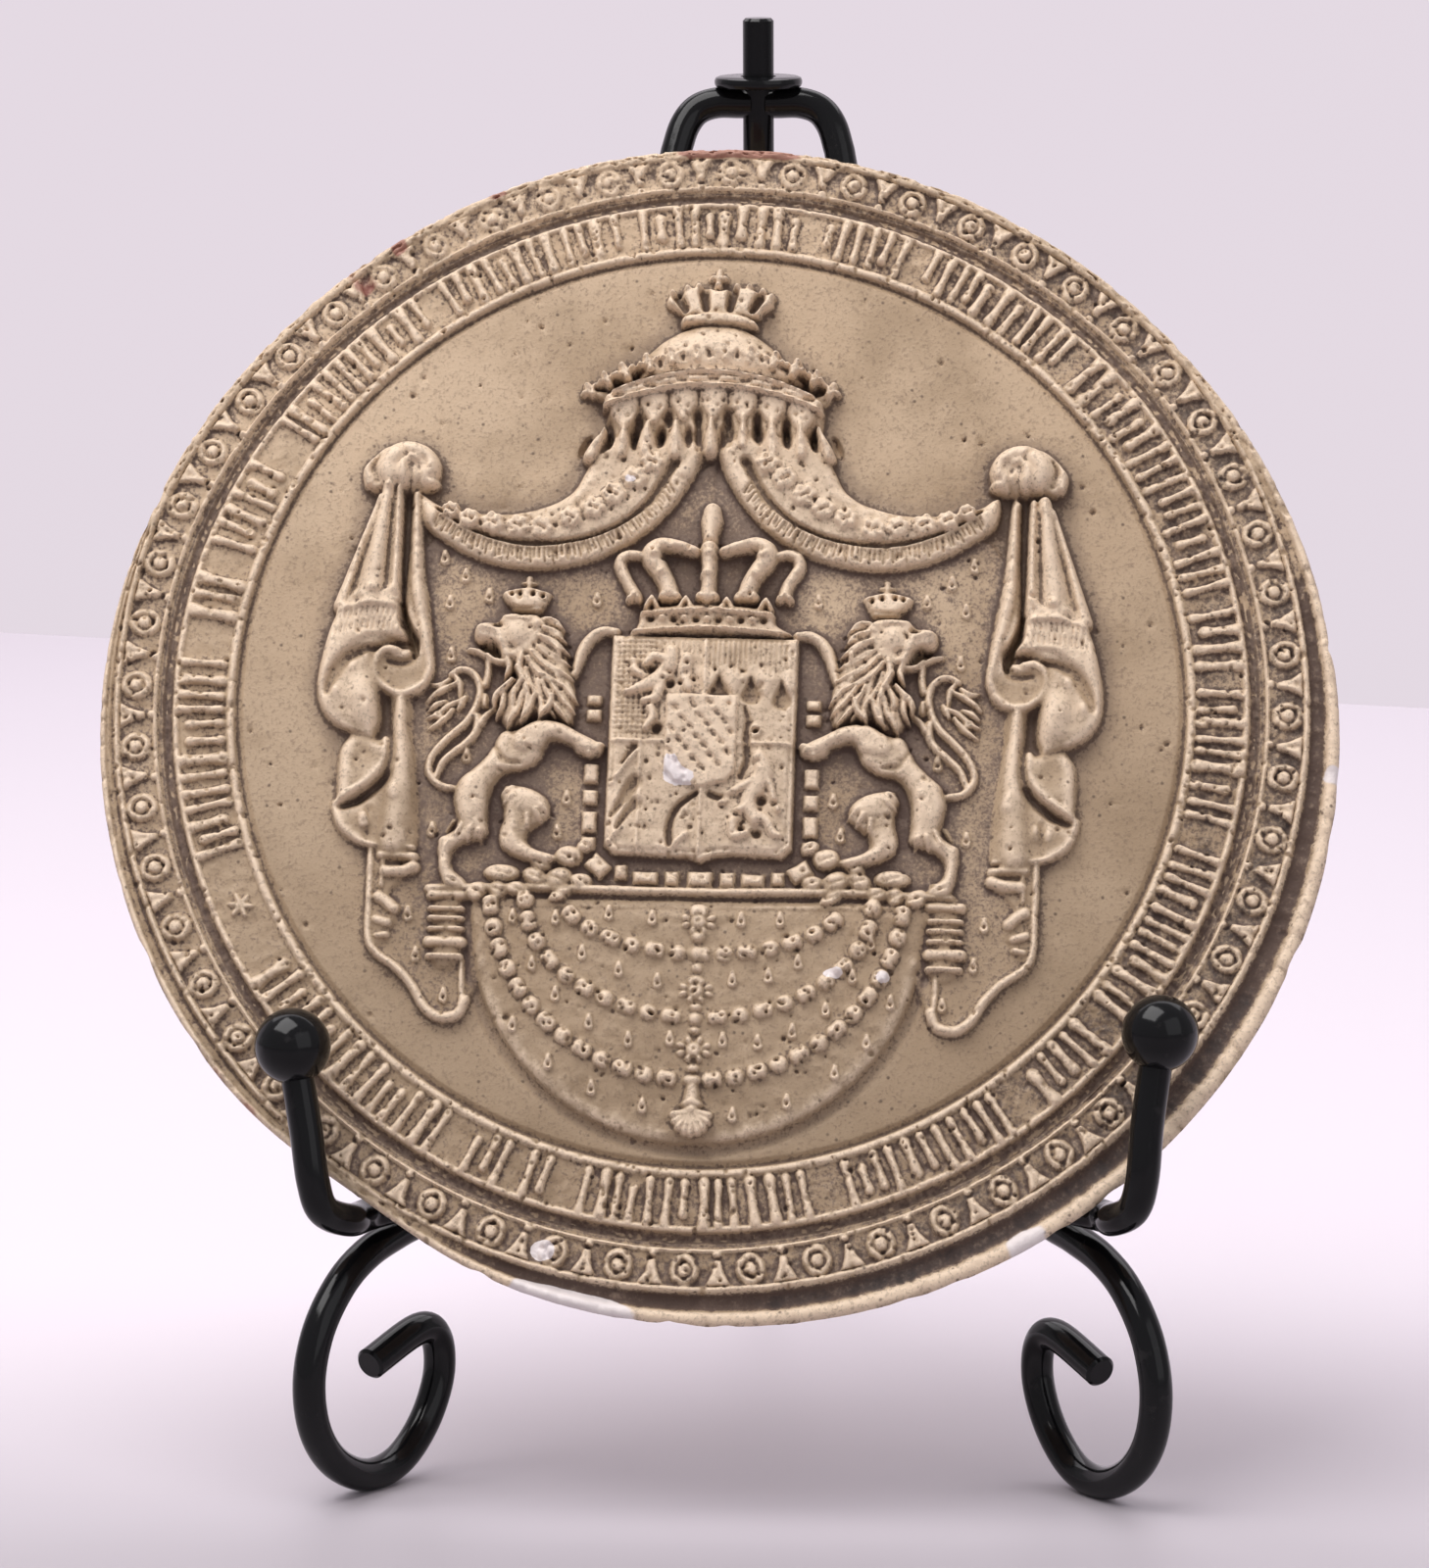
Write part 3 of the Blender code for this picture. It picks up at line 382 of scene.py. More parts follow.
def modelSwags(clay):
    for side in (-1, 1):
        def at(x, y):
            return (-0.85 + side * (-x - 0.85), y - (0.035 * x if side > 0 else 0))
        body = [(-1.4, 31.4), (-3, 33.5), (-8, 34), (-14.2, 33.6), (-15, 31.6), (-16.2, 29.2),
                (-17.8, 26.2), (-20.6, 24.4), (-25, 23.2), (-30, 23.2), (-34, 24), (-36.6, 25.3),
                (-36.5, 21.8), (-34.4, 19.8), (-31.4, 17.9), (-28, 16.5), (-24.5, 15.8),
                (-21, 15.7), (-17.4, 16.3), (-14, 17.3), (-11, 18.8), (-8.5, 20.6),
                (-6.2, 22.9), (-4.4, 25.3), (-2.8, 28)]
        clay.plate([at(*q) for q in body], 2.7, 1.7)
        groove = [(-34.4, 23.3), (-31.5, 21.4), (-28.5, 20.1), (-25, 19.2), (-21.5, 19),
                  (-18, 19.4), (-15, 20.2), (-12, 21.6), (-9.4, 23.6), (-7.4, 26), (-5.2, 30)]
        line = [at(*q) for q in groove]
        clay.groove(line, [0.25, 0.3, 0.35, 0.5, 0.35, 0.35, 0.4, 0.7, 0.8], 1.3)
        low = along([at(*q) for q in body[12:]], 10)
        high = along(line, 12)
        for k in range(64):
            t = 0.02 + 0.93 * k / 63
            a = high[int(t * (len(high) - 1))]
            b = low[int((0.04 + 0.92 * t) * (len(low) - 1))]
            start, end = a + (b - a) * 0.22, a + (b - a) * (0.62 + 0.1 * math.sin(k * 2.4))
            clay.groove([start, end], 0.22, 0.7, 1)
        lumps = ((-8, 29.7, 1.5), (-10.1, 27.6, 1.6), (-12.6, 25.4, 1.6), (-15, 23.6, 1.5),
                 (-17.8, 22.3, 1.5), (-21.3, 20.9, 1.6), (-24.2, 21.1, 1.5), (-27.4, 21.4, 1.5),
                 (-30.3, 21.9, 1.35), (-32.6, 23, 1.1))
        for n, (x, y, r) in enumerate(lumps):
            for k in range(6):
                a = k * math.pi / 3 + n
                spot = (x + 0.62 * r * math.cos(a), y + 0.55 * r * math.sin(a))
                clay.mound(at(*spot), (0.5 * r, 0.42 * r), 1.2, 2.4, turn=60 * k)
            clay.mound(at(x, y), (0.55 * r, 0.5 * r), 1.55, 2.4)
            clay.groove([at(x - 0.4, y + 0.1), at(x + 0.35, y - 0.2)], 0.28, 0.9, 1)


def modelPavilion(clay):
    mid = -0.8
    drum = [(-14, 38.4), (-10, 40.4), (mid, 41), (8.8, 40.2), (12.8, 38), (12.9, 34.6),
            (12.4, 31.8), (8, 31.4), (3, 31.6), (mid, 32.2), (-5, 31.4), (-13.4, 30.8), (-14, 34)]
    dome = [(-10.8, 40), (-10, 43.2), (-8.4, 45.3), (-6.2, 47), (-3.6, 48.1), (mid, 48.5),
            (1.9, 48.2), (4.4, 47), (6.6, 45.3), (8.3, 43.2), (9.2, 40)]
    clay.plate(drum, 2.1, 1.6)
    clay.plate(dome, 4.0, 5.0)
    for rise, across, level in ((41.4, 12.4, 4.5), (39.8, 13.4, 4.2)):
        line = [(mid + across * t, rise - 3.0 * t * t - 0.1 * t) for t in np.linspace(-1, 1, 9)]
        clay.ridge(line, 0.38, level, 0.0)
    band = [(mid + 12.8 * t, 40.6 - 2.9 * t * t - 0.1 * t) for t in np.linspace(-1, 1, 9)]
    clay.ridge(band, 0.9, 3.9, 0.0)
    for k in range(13):
        t = (k - 6) / 6.4
        x, y = mid + 12.6 * t, 40.6 - 2.9 * t * t
        if k % 2:
            clay.mound((x, y), (0.75, 0.4), 4.35, 0.0, turn=-22 * t)
        else:
            clay.groove([(x - 0.5, y + 0.08 * t), (x + 0.5, y - 0.08 * t)], 0.35, 0.9, 1)
    leaves = ((-16.2, 39.4), (-14.1, 40.3), (-11.9, 41.3), (-9, 42.5), (-6.2, 43.4), (-3, 43.9),
              (0.5, 44), (3.6, 43.7), (6.6, 43.1), (9.2, 42.2), (11.7, 41), (13.7, 40))
    for n, (x, y) in enumerate(leaves):
        lean = -x * 2.2
        outer = n in (0, 11)
        size = 0.9 if outer or n in (1, 10) else 1.1
        side = math.sin(math.radians(lean)), math.cos(math.radians(lean))
        for step, half in ((0.7, 0.66), (-0.1, 0.85), (-0.8, 0.6)):
            spot = (x - side[0] * step * size, y + side[1] * step * size)
            clay.mound(spot, (half * size, half * size), 4.6 if not outer else 2.6, 0.0)
        for wing in (-1, 1):
            spot = (x + wing * 0.95 * size * side[1], y + wing * 0.95 * size * side[0] + 0.1)
            clay.mound(spot, (0.62 * size, 0.5 * size), 4.3 if not outer else 2.3, 0.0)
        clay.mound((x, y - 0.1), (0.3, 0.3), -0.8, power=0.9)
        if 1 < n < 10:
            gap = (x + 1.5, y - 0.3 - 0.14 * x / 5)
            clay.mound(gap, (0.4, 0.7), -0.9, None, power=0.9)
    clay.plate([(-16.9, 39.6), (-15, 38.1), (-13.6, 38), (-13.4, 39.2)], 1.9, 0.6)
    clay.plate([(14.6, 40.2), (13.4, 38.2), (12.2, 37.8), (11.6, 39)], 1.9, 0.6)
    # valance of leaf-shaped lappets, with tassels between and below them
    for k in range(7):
        t = (k - 3) / 3
        x, y = mid + 11 * t, 38 - 1.6 * t * t
        clay.ridge([(x, y + 0.8), (x, y - 0.4), (x, y - 1.9)], [1.8, 1.7, 0.6], 0.8, 2.3)
        clay.mound((x - 0.7, y - 0.1), (0.35, 0.4), -0.6, power=0.9)
        clay.mound((x + 0.6, y - 0.7), (0.3, 0.3), -0.5, power=0.9)
    for k in range(8):
        t = (k - 3.5) / 3.5
        x, y = mid + 12.8 * t, 35.9 - 1.7 * t * t
        clay.mound((x, y), (0.65, 1.3), -1.6, power=0.8)
    tassels = ((-15.1, 31.8, 0.8, -26), (-11.8, 32.3, 0.95, -4), (-8.9, 32.6, 1.15, -3),
               (-5.3, 32.8, 1.1, 0), (-0.95, 33.2, 0.9, 0), (3, 33.7, 0.7, 0),
               (6.65, 33.2, 1.05, 3), (10.2, 32.8, 0.95, 5), (13.2, 32.4, 0.75, 22))
    for x, y, half, turn in tassels:
        s, c = math.sin(math.radians(turn)), math.cos(math.radians(turn))
        for spot in (-1.6, 1.6):
            clay.mound((x + spot * c, y + 0.5), (0.6, 1.7), -1.5, power=0.8, turn=turn)
        spine = [(x - s * t, y + c * t) for t in (2.3, 1.5, 0.5, -0.6, -1.5)]
        clay.ridge(spine, [0.35, 0.55 * half, 0.95 * half, 1.2 * half, 1.25 * half], 3.7, 0.0)
        clay.mound((x - s * 1.9, y + c * 1.9), (0.55 * half, 0.4), 3.5, 0.0)
        for k in (-0.45, 0, 0.45):
            start = (x + k * half * 0.7, y - 0.3)
            clay.groove([start, (x + k * half * 1.5 + s * 1.5, y - 1.8 * c)], 0.16, 0.35, 1)
    # the small crown on the dome
    clay.plate([(-5.2, 47.9), (-5.2, 49.2), (-3.2, 49.7), (mid, 50), (2.2, 49.6), (4, 48.9),
                (4.1, 47.8), (mid, 48)], 2.8, 0.7)
    clay.plate([(-4.6, 49.2), (-5.8, 50), (-7.1, 50.8), (-6.9, 52.2), (-5.4, 52.5), (-4.4, 53.3),
                (-2.2, 53.4), (mid, 53), (0.8, 53.3), (3, 53.4), (4.4, 52.8), (5.9, 52.4),
                (6.2, 51), (4.9, 50), (3.8, 49.2)], 2.3, 0.8)
    for ends in (((-5.75, 51.9), (-4.75, 50.3)), ((-2.5, 52.5), (-2.2, 50.4)),
                 ((1.1, 52.5), (0.8, 50.4)), ((4.4, 51.8), (3.6, 50.3))):
        clay.ridge(list(ends), [0.85, 0.6], -2.0, None, 2, power=0.7)
    for x, y in ((-6.4, 52.4), (-4.6, 53.1), (-3.2, 53.4), (mid, 53.5), (1.6, 53.4), (3.1, 53.4),
                 (4.8, 52.9), (5.9, 52.2)):
        clay.mound((x, y), (0.55, 0.5), 2.6, 0.0)
    clay.ridge([(mid, 53.6), (mid + 0.1, 55.6)], [0.5, 0.4], 1.7, 0.0, 2)
    clay.ridge([(mid - 0.8, 54.7), (mid + 0.9, 54.7)], 0.4, 1.6, 0.0, 2)


def modelLion(clay, turned):
    def put(points):
        return flip(points, -0.6, 0.4) if turned else points

    def spot(x, y):
        return put([(x, y)])[0]

    torso = [(-23.4, -4.6), (-20.4, -5), (-19.6, -6.6), (-20, -8.4), (-22, -9.8), (-24.2, -10.3),
             (-25.3, -11.4), (-26, -13.4), (-26.1, -16), (-26, -18), (-27.4, -18.9),
             (-29.2, -19.5), (-30.3, -20.6), (-30.2, -22.2), (-29, -23.2), (-28.2, -24.3),
             (-29.4, -25), (-31, -24.8), (-31.8, -22.4), (-32.3, -20), (-31.7, -18.4),
             (-30.1, -17), (-30.4, -15), (-30.7, -13), (-30, -11), (-28.3, -9.5), (-26.6, -7.6),
             (-25.2, -5)]
    haunch = [(-24.3, -11.6), (-22.6, -11.6), (-20.6, -12.2), (-19, -13.4), (-18.6, -14.8),
              (-19, -15.9), (-20.2, -16.9), (-21.1, -17.8), (-21.1, -19), (-20, -19.9),
              (-17.9, -20.2), (-17.6, -21.2), (-20.2, -21.4), (-23, -20.7), (-24.6, -19.4),
              (-24.9, -17.6), (-24.5, -16), (-24.5, -14.6), (-24.9, -13)]
    mane = [(-21.4, 9.7), (-19.2, 8.8), (-17.9, 7.9), (-18, 6.4), (-17.5, 5), (-17, 3.4),
            (-16.4, 1.6), (-16.1, -0.4), (-16.2, -2.6), (-16.6, -4), (-18.8, -3.2), (-21, -3),
            (-22.6, -4), (-24.2, -4.6), (-25.2, -3.8), (-25.8, -2), (-25.9, -0.2), (-24.4, 1),
            (-23.6, 2.6), (-24.8, 3.8), (-25.6, 6), (-24, 8.6)]
    arm = [(-24.4, -6), (-22.8, -4.4), (-20.4, -3.3), (-17.8, -3.6), (-15.4, -4.8), (-13.4, -5.8),
           (-12.5, -6.6), (-12.8, -7.8), (-14.4, -8.1), (-15.8, -7.6), (-16.6, -6.7),
           (-18.8, -6.2), (-19.8, -7.4), (-21.6, -8.2), (-23.6, -7.8)]
    clay.plate(put(torso), 2.7, 1.5)
    clay.plate(put(haunch), 2.3, 1.1)
    clay.plate(put(mane), 2.6, 1.2)
    clay.plate(put(arm), 3.3, 1.3)
    for toe in ((-14.2, -7.6), (-13.4, -7.2), (-13, -6.5)):
        clay.mound(spot(*toe), (0.7, 0.55), 3.2, 0.0)
    clay.mound(spot(-28.2, -13.6), (2.0, 4.0), 0.6, power=1.0)
    clay.mound(spot(-21.6, -13.8), (2.4, 2.0), 0.7, power=1.0)
    fur = ((-30.3, -16.2, -0.9, -1.4), (-29.4, -17, -0.7, -1.6), (-28.2, -17.6, -0.3, -1.5),
           (-23.4, -12, -1.1, -0.9), (-23.3, -13.3, -1.2, -0.9), (-20.4, -15, 0.7, -1.3),
           (-19.6, -14.4, 1.0, -1.0), (-21.4, -15.7, 0.1, -1.3), (-27, -17.8, 0.1, -1.2))
    for x, y, dx, dy in fur:
        clay.ridge(put([(x, y), (x + dx, y + dy)]), [0.4, 0.18], 0.55, None, 2)
        clay.groove(put([(x + 0.4, y), (x + dx + 0.4, y + dy)]), 0.18, 0.3, 2)
    clay.ridge(put([(-31.3, -19), (-31.2, -22), (-30.6, -24)]), [0.9, 0.8, 0.8], 2.5, 0.0)
    clay.ridge(put([(-22.6, -15), (-23, -18.4), (-21.2, -20.2), (-18.6, -20.8)]),
               [1.9, 1.5, 1.0, 0.7], 2.6, 0.0)
    clay.groove(put([(-25.9, -6.6), (-24.6, -8.8), (-22.6, -9)]), [0.3, 0.5, 0.3], 0.5)
    # head
    skull = [(-25.6, 4), (-26.2, 5.6), (-28.2, 6), (-29, 6.8), (-28.8, 8.3), (-27, 8.9),
             (-26, 9.1), (-25.4, 9.8), (-23.4, 10), (-21, 9.8), (-20.2, 7.6), (-21.4, 5),
             (-23.4, 3.6)]
    clay.plate(put(skull), 3.0, 0.9)
    clay.ridge(put([(-28.4, 8.1), (-27, 8), (-25.8, 7.2), (-25.4, 5.8), (-24.6, 4.6)]),
               [0.7, 0.6, 0.6, 0.8, 0.7], 0.55, power=0.9)
    clay.ridge(put([(-26, 9.2), (-24.4, 9.5), (-22.4, 9.2)]), [0.4, 0.6, 0.5], 0.5, power=0.9)
    clay.mound(spot(-28, 7.3), (1.2, 1.2), 0.5, power=0.9)
    clay.mound(spot(-23.6, 7.2), (1.6, 1.7), 0.6, power=0.9)
    clay.mound(spot(-26.2, 8.3), (0.85, 0.5), -1.8, power=0.9)
    clay.mound(spot(-24.4, 5.4), (0.9, 0.8), -0.5, power=1.0)
    clay.groove(put([(-28, 5.9), (-27, 5.9), (-26.2, 5.2)]), [0.3, 0.7, 0.6], 2.2)
    clay.ridge(put([(-29.5, 5.4), (-28.4, 5.2), (-27.6, 4.7)]), [0.35, 0.45, 0.4], 1.9, 0.0, 2)
    clay.ridge(put([(-27.3, 4.7), (-26.4, 4), (-25, 3.8), (-23.8, 4.2)]), [0.4, 0.5, 0.8], 2.5, 0.0)
    clay.mound(spot(-21, 8.6), (0.8, 0.6), 0.7, None, 30)
    # locks of the mane, swept back above and down in front
    locks = (((-20.6, 9.2), (-19.2, 8.9), (-18, 8)), ((-20.4, 8), (-19, 7.4), (-17.7, 6.4)),
             ((-20.8, 6.9), (-19, 6), (-17.2, 4.8)), ((-21.2, 5.8), (-19.4, 4.6), (-17, 3.3)),
             ((-21.8, 5), (-19.8, 3.2), (-16.6, 1.6)), ((-22.4, 4.2), (-20.4, 2), (-16.9, 0.2)),
             ((-18.6, 2), (-17.2, 0.4), (-16, -1.2)), ((-19.4, 1.4), (-18, -0.6), (-16.2, -2.6)),
             ((-20.4, 1.2), (-19, -1.2), (-17, -3.8)), ((-21, 2), (-20.4, -0.4), (-18.6, -3.2)),
             ((-22.4, 2.8), (-21.6, 0.6), (-20.2, -1.4), (-20.6, -3)),
             ((-23.6, 3), (-22.4, 1), (-22, -1.2), (-22.6, -3.4)),
             ((-23, 1.2), (-23.8, -0.6), (-23.6, -2.6), (-24.4, -4.6)),
             ((-24, 1.4), (-25, 0), (-25, -1.8), (-25.8, -3.4)),
             ((-24.6, 0.6), (-25.9, -0.8), (-26, -2.2)), ((-22.6, -0.2), (-23, -2.2), (-24, -3.6)),
             ((-21.2, -0.6), (-21.8, -2.4), (-22.8, -4)), ((-19, -0.6), (-19.4, -2), (-20.6, -3.4)),
             ((-24.8, 4.4), (-24.4, 3), (-25, 1.6)), ((-22.9, 4.6), (-23.2, 3.2), (-22.4, 2)),
             ((-19.9, 6.6), (-18.6, 5.6), (-18.4, 4.4)))
    for n, lock in enumerate(locks):
        rise = 0.75 + 0.25 * (n % 3)
        clay.ridge(put(list(lock)), [0.3, 0.5, 0.42, 0.12], rise, 2.5, 3, power=0.7)
        clay.groove(put([(x + 0.45, y - 0.3) for x, y in lock]), 0.2, 0.5, 3)
    for x, y in ((-21, 6), (-20.2, 4.2), (-23.5, -2), (-22.7, -3.4), (-19.6, 0.4), (-22.1, 8)):
        clay.mound(spot(x, y), (0.3, 0.3), -0.6, power=0.9)
    # the small raised paws
    for lines in ([(-27.2, 4.2), (-27.1, 2.6), (-27.4, 1)],
                  [(-25.8, -2), (-27, -2.8), (-27.7, -3.9)], [(-27.3, -0.4), (-27.3, -1.6)]):
        clay.ridge(put(lines), [0.45, 0.5, 0.55], 1.7, 0.0, 3)
    # crown
    clay.plate(put([(-24.2, 10.1), (-25.6, 11.8), (-25.8, 12.8), (-24.6, 13.3), (-22.8, 13.6),
                    (-21, 13.3), (-19.8, 12.8), (-20, 11.8), (-20.9, 10.1), (-22.6, 9.9)]),
               2.7, 1.0)
    for x, y in ((-24.6, 12.5), (-23.6, 12.6), (-22, 12.5), (-20.8, 12.3)):
        clay.mound(spot(x, y), (0.38, 0.48), -1.9, power=0.8)
    clay.groove(put([(-24.8, 10.9), (-22.8, 10.6), (-20.6, 10.9)]), 0.2, 0.4, 3)
    clay.ridge(put([(-22.6, 13.2), (-22.6, 14.8)]), 0.4, 1.6, 0.0, 2)
    clay.ridge(put([(-23.3, 14.1), (-21.9, 14.1)]), 0.32, 1.4, 0.0, 2)
    # the double tail
    first = [(-30.6, -12.2), (-32.4, -11.8), (-33.7, -10.3), (-33.6, -8.6), (-32.6, -6.9),
             (-31, -5.2), (-29.5, -3.8), (-28.4, -1.8), (-28, 0), (-28.3, 1.6), (-29.3, 2.7),
             (-30.6, 2.9), (-31.6, 2.3)]
    second = [(-32.9, -10.9), (-32.1, -8.9), (-30.6, -7.4), (-29.1, -6.1), (-28.2, -4.7),
              (-28.2, -3)]
    clay.ridge(put(first), [0.55, 0.5, 0.55, 0.5, 0.45], 1.8, 0.0)
    clay.ridge(put(second), [0.45, 0.55, 0.6], 1.7, 0.0)
    for tuft in ([(-31.4, 2.4), (-30.6, 1.2), (-30.4, -0.6)], [(-30.9, 1.2), (-32.2, 0.5),
                 (-33.6, -0.4), (-34.4, -1.3)], [(-31.9, 1.6), (-33, 0.8), (-34, 0.9)],
                 [(-30.2, -1), (-31.6, -1.6), (-33, -2.8), (-34.2, -3.4)],
                 [(-31.2, -2.2), (-32.4, -3.6), (-34, -4.8)], [(-29.8, -0.6), (-30.6, -2.2)],
                 [(-32.2, -1.2), (-33.2, -1.6), (-34.2, -2.4)]):
        clay.ridge(put(tuft), [0.3, 0.5, 0.2], 1.6, 0.0, 3)
    clay.mound(spot(-33, -2.9), (0.7, 0.6), 1.9, 0.0)
    clay.mound(spot(-33, -2.9), (0.35, 0.3), -0.8, power=0.9)
    # the ground under its feet
    rocks = ((-30, -23.9, 1.5, 0.9), (-24.2, -22.7, 2.3, 1.2), (-27.2, -25, 1.6, 1.2),
             (-20.2, -23, 1.7, 1.2), (-22.4, -24.6, 1.5, 1.0), (-17.4, -23.2, 1.9, 1.4),
             (-19.6, -21.4, 1.5, 0.9), (-16.2, -20.4, 1.8, 1.4), (-14.2, -19, 1.2, 0.9),
             (-24.6, -24.8, 1.3, 1.2), (-14.6, -23.4, 1.5, 1.0), (-17, -25.2, 1.6, 0.8))
    for n, (x, y, w, h) in enumerate(rocks):
        clay.mound(spot(x, y), (w, h), 2.3, 0.0, turn=25 * (n % 3 - 1), power=0.35)
        clay.groove(put([(x - 0.4 * w, y + 0.2), (x + 0.5 * w, y - 0.3 * h)]), 0.22, 0.4, 1)
        clay.mound(spot(x + 0.5 * w * (n % 2), y), (0.3, 0.3), -0.5, power=0.9)


def block(x, y, w, h, turn=0):
    # corners of an oblong, from half its width and height, turned in degrees
    c, s = math.cos(math.radians(turn)), math.sin(math.radians(turn))
    return [(x + i * w * c - j * h * s, y + i * w * s + j * h * c)
            for i, j in ((-1, -1), (1, -1), (1, 1), (-1, 1))]


def modelShield(clay):
    left, right, top, bottom, mid = -12.1, 10.9, 7.7, -20.2, -0.5
    outline = [(left, top), (left, -19), (left + 1.2, bottom), (mid - 3.4, bottom - 0.2),
               (mid - 1.2, bottom - 0.2), (mid + 0.3, bottom - 0.8), (mid + 2, bottom - 0.1),
               (mid + 4, bottom + 0.2), (right - 1.2, bottom), (right, -19), (right, top)]
    clay.plate(outline, 2.7, 0.8, perSpan=1)
    inner = [(x + (0.75 if x < mid else -0.75), y - (0.6 if y > 0 else -0.7)) for x, y in outline]
    closed = inner + [inner[0]]
    for a, b in zip(closed[:-1], closed[1:]):
        clay.groove([a, b], 0.3, 0.35, 1)
    for line in ([(mid, 7), (mid, 0)], [(mid, -12), (mid, -19.8)], [(-11.6, -6), (-5.2, -6)],
                 [(3.8, -6), (10.2, -6)], [(-8, -6.2), (-8, -19.4)]):
        clay.ridge(line, 0.26, 0.4, None, 1)
    # first quarter, crossed lines
    for k in range(9):
        x = -11 + 0.64 * k
        clay.groove([(x, 6.8), (x, -5.6)], 0.19, 0.32, 1)
    for k in range(19):
        y = 6.5 - 0.64 * k
        clay.groove([(-11.2, y), (-6.2, y)], 0.17, 0.28, 1)
    for k in range(8):
        clay.groove([(-5.6 + 0.64 * k, 6.8), (-5.6 + 0.64 * k, 5.2)], 0.17, 0.28, 1)
    # second quarter, upright lines over a row of points
    for k in range(16):
        x = 0.1 + 0.62 * k
        clay.groove([(x, 7), (x, 3.2 - 0.9 * math.cos(x * 1.7))], 0.2, 0.38, 1)
    for x, y in ((1.2, 2.5), (5.1, 2.4), (8.9, 1.9)):
        clay.ridge([(x, y), (x + 0.1, y - 2.3)], [0.1, 1.3], -1.1, None, 2, power=0.6)
    for x, y in ((-0.1, 2.4), (3.1, 2.2), (7, 2.1), (10, 2.2)):
        clay.ridge([(x, y), (x, y - 1.9)], [1.4, 0.2], 0.4, None, 2, power=0.6)
    # third quarter, slanted bands
    for low, high in (((-11.4, -11.4), (-8.4, -7.2)), ((-11.4, -18.6), (-8.4, -14.8))):
        clay.ridge([low, high], 0.26, 0.5, None, 1)
    for a, b in (((-11.2, -15.4), (-8.5, -11.2)), ((-10.4, -17), (-8.5, -14))):
        clay.groove([a, b], [0.4, 1.1], 0.9, 1)
    clay.groove([(-8.8, -6.8), (-10.2, -9)], [0.6, 0.1], 0.7, 1)
    # beasts of the first and the fourth quarter
    beasts = (([(-4.7, 5.3), (-4.9, 3.4), (-6, 1.9), (-8, 0.8), (-10, 0.1)],
               [0.9, 1.1, 1.1, 0.8, 0.4]),
              ([(-5.2, 4.3), (-6.8, 4.7), (-7.7, 3.7)], [0.7, 0.6, 0.5]),
              ([(-9.3, 4), (-9.1, 2.9), (-8.1, 2.2)], [0.5, 0.6, 0.5]),
              ([(-5.8, 1.2), (-6.4, -0.6), (-7.8, -1)], [0.8, 0.7, 0.5]),
              ([(-7, -1.8), (-6.6, -3), (-7.5, -4.4)], [0.6, 0.6, 0.4]),
              ([(-2.7, 4.5), (-3, 2.8), (-2.4, 0.9)], [0.8, 0.9, 0.8]),
              ([(6.5, -7.7), (7.1, -9.6), (6.2, -11.4), (5.4, -13.6), (6.2, -15.6)],
               [0.9, 1.3, 1.2, 1.1, 0.8]),
              ([(5.8, -10.8), (3.8, -12), (2.2, -13.4)], [0.7, 0.6, 0.5]),
              ([(7.2, -10), (8, -11.4), (8.4, -12.8), (9, -14.4)], [0.5, 0.45, 0.4]),
              ([(5, -14), (3.6, -15.4), (3.8, -17.6), (5.2, -17.4)], [0.6, 0.6, 0.7, 0.4]),
              ([(6.2, -15.2), (7.6, -15.6), (8.4, -17.2), (9.4, -17.6)], [0.8, 0.7, 0.6, 0.3]))
    for line, half in beasts:
        clay.ridge(line, half, 1.15, 2.5, 3)
    for x, y, r in ((-7.1, 3.1, 0.6), (-4.7, 1.3, 0.7), (-6.1, -4.3, 0.8), (-2.7, 3.9, 0.4),
                    (-3.4, 1.4, 0.35), (-1.9, 1.9, 0.35), (6.9, -13.2, 0.85), (8.6, -13.6, 0.5),
                    (3.9, -15, 0.6), (4.6, -16.8, 0.5), (6.5, -17.4, 0.7), (-4.8, 2.6, 0.3)):
        clay.mound((x, y), (r, 0.85 * r), -1.2, power=0.8)
    clay.groove([(-1, -12.4), (-3.2, -14.2), (-4.1, -16.6), (-4, -18.8)], [0.4, 0.5, 0.6, 0.5], 1.1)
    clay.ridge([(-3.6, -19), (-2.8, -18.2), (-2, -17.6)], 0.35, 0.6, None, 3)
    clay.groove([(0.6, -12.5), (2.2, -13), (3.4, -12.6)], 0.5, 0.9)
    clay.groove([(4.5, -1.4), (5, -3.2), (4.8, -5.4), (5, -8), (4.3, -10.2)], [0.3, 0.6, 0.5], 0.8)
    clay.mound((5.9, -4.4), (0.95, 0.9), 0.6, power=0.7)
    clay.mound((5.9, -4.4), (0.45, 0.42), -1.6, power=0.7)
    # the small shield in the middle with its lozenges
    clay.plate([(-5.1, 0), (3.7, 0), (3.7, -9.6), (2.6, -11), (mid, -11.8), (-3.8, -11.1),
                (-5.1, -9.6)], 0.8, 0.4, 2.7, perSpan=1)
    for row in range(7):
        for k in range(4):
            x = -3.9 + 2.1 * k + 1.05 * (row % 2) - 0.16 * row
            y = -1.3 - 1.35 * row + 0.4 * (k - 1.5)
            if -4.6 < x < 3.2 and -10.2 < y < -0.7:
                clay.mound((x, y), (0.75, 0.4), -0.6, turn=-38, power=0.8)
    # ribbons at the shoulders
    for line in bothSides([(-11.6, 8.1), (-13.2, 8.1), (-14.6, 7.2), (-15.6, 5.6), (-16.1, 4),
                           (-16.5, 2.4)], mid):
        clay.ridge(line, [0.6, 0.8, 0.9, 0.8, 0.6], 2.4, 0.0)
